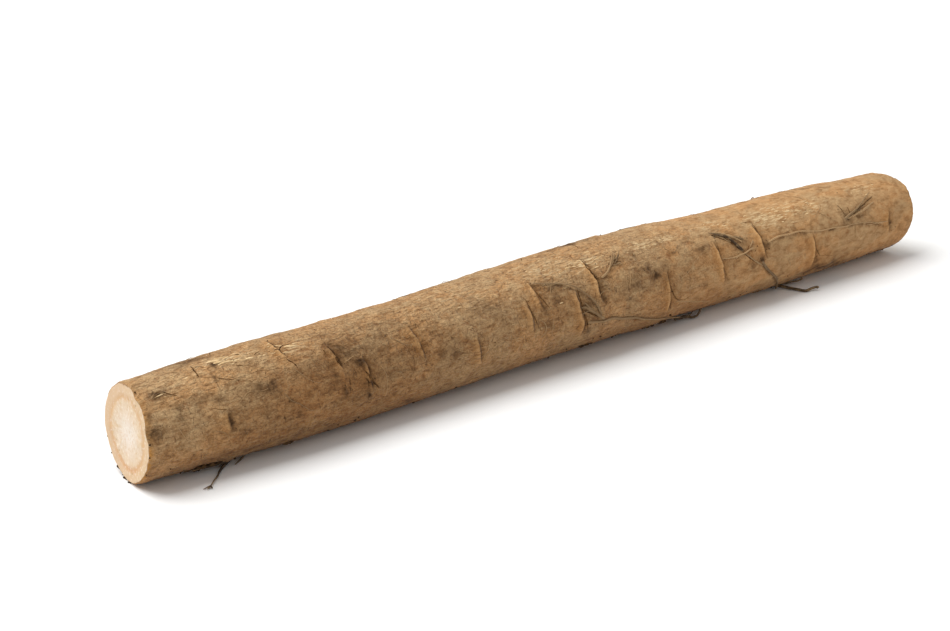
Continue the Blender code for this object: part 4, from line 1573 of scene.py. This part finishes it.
def flesh_material():
    """Fresh cut root flesh: a thin brown skin, a cream band of cortex, a thin tan ring and a nearly
    white wood with faint rays. It is moist under its dry face, so it lets a little light in."""
    made, tree, shader = new_material("cut root flesh", 0.62, 0.35)
    at = add(tree, "ShaderNodeTexCoord").outputs["Object"]
    value = {
        key: add(tree, "ShaderNodeAttribute", attribute_name=key).outputs["Fac"]
        for key in ("share", "spoke_y", "spoke_z")
    }
    # Rays are short patches in share of the radius, and narrow ones in the turn round the middle
    polar = {0: value["share"], 1: value["spoke_y"], 2: value["spoke_z"]}
    polar_at = add(tree, "ShaderNodeCombineXYZ", polar).outputs[0]
    for key, place, scale, detail, roughness, bend in (
        ("ray", polar_at, (4.5, 14, 14), 4, 0.65, 0.6),
        ("cloud", at, per_mm(3, 3), 5, 0.65, 0.0),
        ("fleck", at, per_mm(0.9, 0.9), 3, 0.60, 0.0),
    ):
        scaled = add(tree, "ShaderNodeMapping", {"Vector": place, "Scale": scale})
        value[key] = add(
            tree,
            "ShaderNodeTexNoise",
            {"Vector": scaled.outputs[0], "Scale": 1.0, "Detail": detail, "Roughness": roughness,
             "Distortion": bend},
        ).outputs["Fac"]
    scaled = add(tree, "ShaderNodeMapping", {"Vector": at, "Scale": per_mm(2.2, 2.2)})
    value["dirt"] = add(
        tree, "ShaderNodeTexVoronoi", {"Vector": scaled.outputs[0], "Scale": 1.0}
    ).outputs["Distance"]
    # The share of the radius with its edges made uneven, and how far that is from the ring
    for key, operation, *terms in (
        ("edge", "MULTIPLY_ADD", "cloud", 0.16, "share"),
        ("edge", "SUBTRACT", "edge", 0.08),
        ("off_ring", "SUBTRACT", "edge", RING_SHARE),
        ("off_ring", "ABSOLUTE", "off_ring"),
    ):
        inputs = {number: value.get(term, term) for number, term in enumerate(terms)}
        value[key] = add(tree, "ShaderNodeMath", inputs, operation=operation).outputs[0]

    # Each mask: its name, what it reads, where it starts and is full, and its least and its most
    for key, source, start, full, least, most in (
        ("outward", "edge", 0.10, 0.62, 0.0, 1.00),
        ("rays", "ray", 0.50, 0.70, 0.0, 0.50),
        ("cortex", "edge", 0.70, 0.76, 0.0, 1.00),
        ("ring", "off_ring", 0.09, 0.01, 0.0, 0.75),
        ("low", "spoke_z", -0.30, -0.95, 0.0, 0.50),
        ("tan", "fleck", 0.55, 0.70, 0.0, 0.70),
        ("white", "fleck", 0.46, 0.30, 0.0, 0.45),
        ("blot", "cloud", 0.54, 0.72, 0.0, 0.55),
        ("shaded", "spoke_y", 0.50, -0.70, 0.0, 0.50),
        ("skin", "edge", 0.95, 0.985, 0.0, 1.00),
        ("dots", "dirt", 0.13, 0.07, 0.0, 0.75),
        ("far_out", "share", 0.30, 0.92, 0.12, 1.00),
    ):
        spread = {0: value[source], 1: start, 2: full, 3: least, 4: most}
        value[key] = add(tree, "ShaderNodeMapRange", spread).outputs[0]
    for key, other in (("low", "ring"), ("shaded", "cortex"), ("dots", "far_out")):
        value[key] = add(
            tree, "ShaderNodeMath", {0: value[key], 1: value[other]}, operation="MULTIPLY"
        ).outputs[0]

    colour = linear("e4d8cb")
    for key, tone in (
        ("outward", "d9c1a3"),
        ("rays", "d6b68e"),
        ("cortex", "d4b793"),
        ("ring", "cb9f70"),
        ("low", "c98f5c"),
        ("tan", "cfab7c"),
        ("white", "f4ece0"),
        ("blot", "d6b48a"),
        ("shaded", "cfae8e"),
        ("skin", "8a5c2c"),
        ("dots", "7a5a38"),
    ):
        colour = add(
            tree, "ShaderNodeMix", {0: value[key], 6: colour, 7: linear(tone)}, data_type="RGBA"
        ).outputs[2]
    tree.links.new(colour, shader.inputs["Base Color"])
    shader.inputs["Subsurface Weight"].default_value = 0.08
    shader.inputs["Subsurface Radius"].default_value = (1.6 * MM, 0.9 * MM, 0.5 * MM)
    shader.inputs["Subsurface Scale"].default_value = 1.0

    height = 0.0
    for key, deep in (("ray", 0.7), ("cloud", 0.3)):
        height = add(
            tree, "ShaderNodeMath", {0: value[key], 1: deep, 2: height}, operation="MULTIPLY_ADD"
        ).outputs[0]
    bump = add(tree, "ShaderNodeBump", {"Height": height, "Distance": 0.12 * MM, "Strength": 0.6})
    tree.links.new(bump.outputs[0], shader.inputs["Normal"])
    return made


def mottled(name, roughness, specular, cell, detail, spread, tones):
    """A material with patches of cell millimetres along and across, and the colour that goes
    between two tones in them. spread is where in the patches the second tone starts and is full,
    and the most of it. Gives the material, its tree, its shader, the patches and the colour."""
    made, tree, shader = new_material(name, roughness, specular)
    at = add(tree, "ShaderNodeTexCoord").outputs["Object"]
    scaled = add(tree, "ShaderNodeMapping", {"Vector": at, "Scale": per_mm(*cell)}).outputs[0]
    patches = add(
        tree, "ShaderNodeTexNoise", {"Vector": scaled, "Scale": 1.0, "Detail": detail}
    ).outputs["Fac"]
    start, full, most = spread
    share = add(tree, "ShaderNodeMapRange", {0: patches, 1: start, 2: full, 4: most}).outputs[0]
    first, second = tones
    colour = add(
        tree, "ShaderNodeMix", {0: share, 6: first, 7: second}, data_type="RGBA"
    ).outputs[2]
    tree.links.new(colour, shader.inputs["Base Color"])
    return made, tree, shader, patches, colour


def side_root_material():
    """Dried side root: a shrunken woody thread with a dusty skin, dark brown where it is thick or
    soiled, and straw coloured or grey where it is thin."""
    made, tree, shader = new_material("dried side root", 0.80, 0.25)
    at = add(tree, "ShaderNodeTexCoord").outputs["Object"]
    value = {
        key: add(tree, "ShaderNodeAttribute", attribute_name=key).outputs["Fac"]
        for key in ("tint", "reach")
    }
    scaled = add(tree, "ShaderNodeMapping", {"Vector": at, "Scale": per_mm(1.6, 1.2)})
    uneven = add(
        tree, "ShaderNodeTexNoise", {"Vector": scaled.outputs[0], "Scale": 1.0, "Detail": 4.0}
    ).outputs["Fac"]
    value["dusty"] = add(
        tree, "ShaderNodeMapRange", {0: uneven, 1: 0.52, 2: 0.70, 4: 0.55}
    ).outputs[0]
    value["end"] = add(
        tree, "ShaderNodeMapRange", {0: value["reach"], 1: 0.5, 2: 1.0, 4: 0.35}
    ).outputs[0]
    colour = linear("b7946a")
    for key, tone in (("tint", "433426"), ("dusty", "a88c66"), ("end", "a98c68")):
        colour = add(
            tree, "ShaderNodeMix", {0: value[key], 6: colour, 7: linear(tone)}, data_type="RGBA"
        ).outputs[2]
    tree.links.new(colour, shader.inputs["Base Color"])
    bump = add(tree, "ShaderNodeBump", {"Height": uneven, "Distance": 0.12 * MM, "Strength": 0.8})
    tree.links.new(bump.outputs[0], shader.inputs["Normal"])
    return made


def soil_material():
    """Dried loam: crumbs of clay and humus, nearly black in daylight and fully matt."""
    tones = (linear("2c1e12"), linear("5e462c"))
    made, tree, shader, patches, _ = mottled(
        "dried loam", 0.95, 0.1, (1.0, 1.0), 3, (0.40, 0.62, 1.0), tones
    )
    bump = add(tree, "ShaderNodeBump", {"Height": patches, "Distance": 0.1 * MM, "Strength": 0.8})
    tree.links.new(bump.outputs[0], shader.inputs["Normal"])
    return made


def crack_material():
    """Damp soil packed in a crack: darker than the loose soil on the bark, and dull. A crack that
    is less dark shows more of the bark's own tan. Along the crease steps this dark is painted
    shade."""
    tones = (linear("422c17"), linear("74522f"))
    made, tree, shader, _, deep = mottled(
        "packed soil", 0.92, 0.12, (0.9, 0.9), 3, (0.38, 0.66, 1.0), tones
    )
    tint = add(tree, "ShaderNodeAttribute", attribute_name="tint").outputs["Fac"]
    colour = add(
        tree, "ShaderNodeMix", {0: tint, 6: linear("a07a4e"), 7: deep}, data_type="RGBA"
    ).outputs[2]
    tree.links.new(colour, shader.inputs["Base Color"])
    return made


def fleck_material():
    """Peeled cork: the thin pale inner side of the bark, curled up and clean, and its pale colour
    also a painted glint, so it is the brightest thing on the bark."""
    tones = (linear("cfaa78"), linear("f0d2a2"))
    return mottled("peeled cork", 0.75, 0.3, (1.4, 0.8), 3, (0.36, 0.64, 1.0), tones)[0]


def floor_material(colour):
    """Matt white sheet with hardly any texture, as under product photographs."""
    tones = ((*colour, 1.0), linear("ececea"))
    return mottled("matt white sheet", 0.9, 0.1, (60, 60), 2, (0.3, 0.7, 0.06), tones)[0]


# Stage

CAMERA_PLACE = Vector((-348.5, -378.2, 201.7)) * MM
CAMERA_AHEAD = Vector((0.5973, 0.7215, -0.3502))
CAMERA_UP = Vector((0.2233, 0.2698, 0.9367))
CAMERA_LENS = 68.2
CAMERA_SENSOR = 36.0

# The light is far off and large, so its shadows are soft
KEY_LIGHT_PLACE = (-1.05, 0.95, 2.60)
KEY_LIGHT_SIZE = 2.3
KEY_LIGHT_POWER = 92.0
SKY_STRENGTH = 0.48
FLOOR_HALF_WIDTH = 6.0
ROOT_MIDDLE = Vector((0, 0, 0.015))


def looking(ahead, up):
    """The turn of an object whose -Z looks ahead and whose Y is up."""
    ahead = ahead.normalized()
    right = ahead.cross(up).normalized()
    return Matrix((right, right.cross(ahead), -ahead)).transposed().to_4x4()


def build_camera():
    """The camera at the place and the angle of the photograph's."""
    data = bpy.data.cameras.new("camera")
    data.sensor_fit = "HORIZONTAL"
    data.sensor_width = CAMERA_SENSOR
    data.lens = CAMERA_LENS
    data.clip_start = 0.01
    data.clip_end = 20.0
    camera = bpy.data.objects.new("camera", data)
    bpy.context.scene.collection.objects.link(camera)
    camera.matrix_world = Matrix.Translation(CAMERA_PLACE) @ looking(CAMERA_AHEAD, CAMERA_UP)
    bpy.context.scene.camera = camera


def build_light(name, place, size, power):
    """A square soft light that shines at the middle of the root."""
    data = bpy.data.lights.new(name, "AREA")
    data.size = size
    data.energy = power
    light = bpy.data.objects.new(name, data)
    bpy.context.scene.collection.objects.link(light)
    place = Vector(place)
    turn = looking(ROOT_MIDDLE - place, Vector((0.01, 1, 0.01)))
    light.matrix_world = Matrix.Translation(place) @ turn


def build_floor(colour):
    """A plain pale floor under the root."""
    mesh = bpy.data.meshes.new("floor")
    half = FLOOR_HALF_WIDTH
    corners = [(-half, -half, 0), (half, -half, 0), (half, half, 0), (-half, half, 0)]
    mesh.from_pydata(corners, [], [(0, 1, 2, 3)])
    floor = bpy.data.objects.new("floor", mesh)
    bpy.context.scene.collection.objects.link(floor)
    floor.data.materials.append(floor_material(colour))


# Settings, operators and panel


class BurdockSizes(bpy.types.PropertyGroup):
    """How rough the bark is, and how much grows and clings on it"""

    relief: bpy.props.FloatProperty(
        name="Bark relief",
        description="Depth of the fine relief of the bark, 1 as photographed",
        default=1.0, min=0.0, max=2.5,
    )
    side_root_thickness: bpy.props.FloatProperty(
        name="Side root thickness",
        description="Thickness of the dried side roots, 1 as in the solid",
        default=1.0, min=0.5, max=1.0,
    )
    hair_roots: bpy.props.IntProperty(
        name="Hair roots",
        description="How many hair roots lie along the bark",
        default=90, min=1, max=400,
    )
    loose_crumbs: bpy.props.IntProperty(
        name="Loose crumbs",
        description="How many soil crumbs cling anywhere on the bark",
        default=60, min=0, max=600,
    )


class BurdockColours(bpy.types.PropertyGroup):
    """The colours that differ most from root to root"""

    # Also the colour of the painted shade that the stains carry
    soil: bpy.props.FloatVectorProperty(
        name="Soil stains",
        description="Colour of the soil that stains the bark",
        subtype="COLOR", size=3, min=0.0, max=1.0, default=linear("4a331c")[:3],
    )
    floor: bpy.props.FloatVectorProperty(
        name="Floor",
        description="Colour of the sheet under the root",
        subtype="COLOR", size=3, min=0.0, max=1.0, default=linear("fbfbfa")[:3],
    )


class BURDOCK_OT_stage(bpy.types.Operator):
    """Add the floor, the lights and the camera"""

    bl_idname = "burdock.stage"
    bl_label = "Stage"

    def execute(self, context):
        context.scene.view_settings.view_transform = "Standard"
        world = context.scene.world or bpy.data.worlds.new("world")
        context.scene.world = world
        world.use_nodes = True
        sky = world.node_tree.nodes["Background"]
        sky.inputs["Color"].default_value = linear("ffffff")
        sky.inputs["Strength"].default_value = SKY_STRENGTH
        build_light("key light", KEY_LIGHT_PLACE, KEY_LIGHT_SIZE, KEY_LIGHT_POWER)
        build_floor(tuple(context.scene.burdock_colours.floor))
        build_camera()
        return {"FINISHED"}


class BURDOCK_OT_skin(bpy.types.Operator):
    """Add the skin of the root with its two cut faces"""

    bl_idname = "burdock.skin"
    bl_label = "Root skin"

    def execute(self, context):
        build_skin(context.scene.burdock_sizes)
        return {"FINISHED"}


class BURDOCK_OT_side_roots(bpy.types.Operator):
    """Add the dried side roots"""

    bl_idname = "burdock.side_roots"
    bl_label = "Side roots"

    def execute(self, context):
        build_side_roots(context.scene.burdock_sizes)
        return {"FINISHED"}


class BURDOCK_OT_hair_roots(bpy.types.Operator):
    """Add the hair roots that lie along the bark"""

    bl_idname = "burdock.hair_roots"
    bl_label = "Hair roots"

    def execute(self, context):
        build_hair_roots(context.scene.burdock_sizes)
        return {"FINISHED"}


class BURDOCK_OT_soil_cracks(bpy.types.Operator):
    """Add the soil-filled cracks of the bark and the painted shade lines along the crease steps"""

    bl_idname = "burdock.soil_cracks"
    bl_label = "Soil cracks"

    def execute(self, context):
        build_soil_cracks(context.scene.burdock_sizes)
        return {"FINISHED"}


class BURDOCK_OT_flecks(bpy.types.Operator):
    """Add the pale flecks of peeled cork, which carry painted glints"""

    bl_idname = "burdock.flecks"
    bl_label = "Cork flecks"

    def execute(self, context):
        build_flecks(context.scene.burdock_sizes)
        return {"FINISHED"}


class BURDOCK_OT_soil_crumbs(bpy.types.Operator):
    """Add the crumbs of dried soil"""

    bl_idname = "burdock.soil_crumbs"
    bl_label = "Soil crumbs"

    def execute(self, context):
        build_soil_crumbs(context.scene.burdock_sizes)
        return {"FINISHED"}


STEPS = (
    BURDOCK_OT_skin,
    BURDOCK_OT_side_roots,
    BURDOCK_OT_hair_roots,
    BURDOCK_OT_soil_cracks,
    BURDOCK_OT_flecks,
    BURDOCK_OT_soil_crumbs,
    BURDOCK_OT_stage,
)


class BURDOCK_PT_panel(bpy.types.Panel):
    """Sizes, colours and the steps that build the root"""

    bl_idname = "BURDOCK_PT_panel"
    bl_label = "Burdock Root"
    bl_space_type = "VIEW_3D"
    bl_region_type = "UI"
    bl_category = "Burdock"

    def draw(self, context):
        for group in (context.scene.burdock_sizes, context.scene.burdock_colours):
            for name in group.bl_rna.properties.keys():
                if name not in ("rna_type", "name"):
                    self.layout.prop(group, name)
        for step in STEPS:
            self.layout.operator(step.bl_idname)


CLASSES = (BurdockSizes, BurdockColours, *STEPS, BURDOCK_PT_panel)


def register():
    """Adds the classes to Blender, and the settings to its scenes."""
    for each in CLASSES:
        bpy.utils.register_class(each)
    bpy.types.Scene.burdock_sizes = bpy.props.PointerProperty(type=BurdockSizes)
    bpy.types.Scene.burdock_colours = bpy.props.PointerProperty(type=BurdockColours)


def unregister():
    """Takes away what register added."""
    del bpy.types.Scene.burdock_colours
    del bpy.types.Scene.burdock_sizes
    for each in reversed(CLASSES):
        bpy.utils.unregister_class(each)


def main():
    """Builds every piece and the stage."""
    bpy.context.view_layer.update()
    register()
    bpy.ops.burdock.skin()
    bpy.ops.burdock.side_roots()
    bpy.ops.burdock.hair_roots()
    bpy.ops.burdock.soil_cracks()
    bpy.ops.burdock.flecks()
    bpy.ops.burdock.soil_crumbs()
    bpy.ops.burdock.stage()


if __name__ == "__main__":
    main()
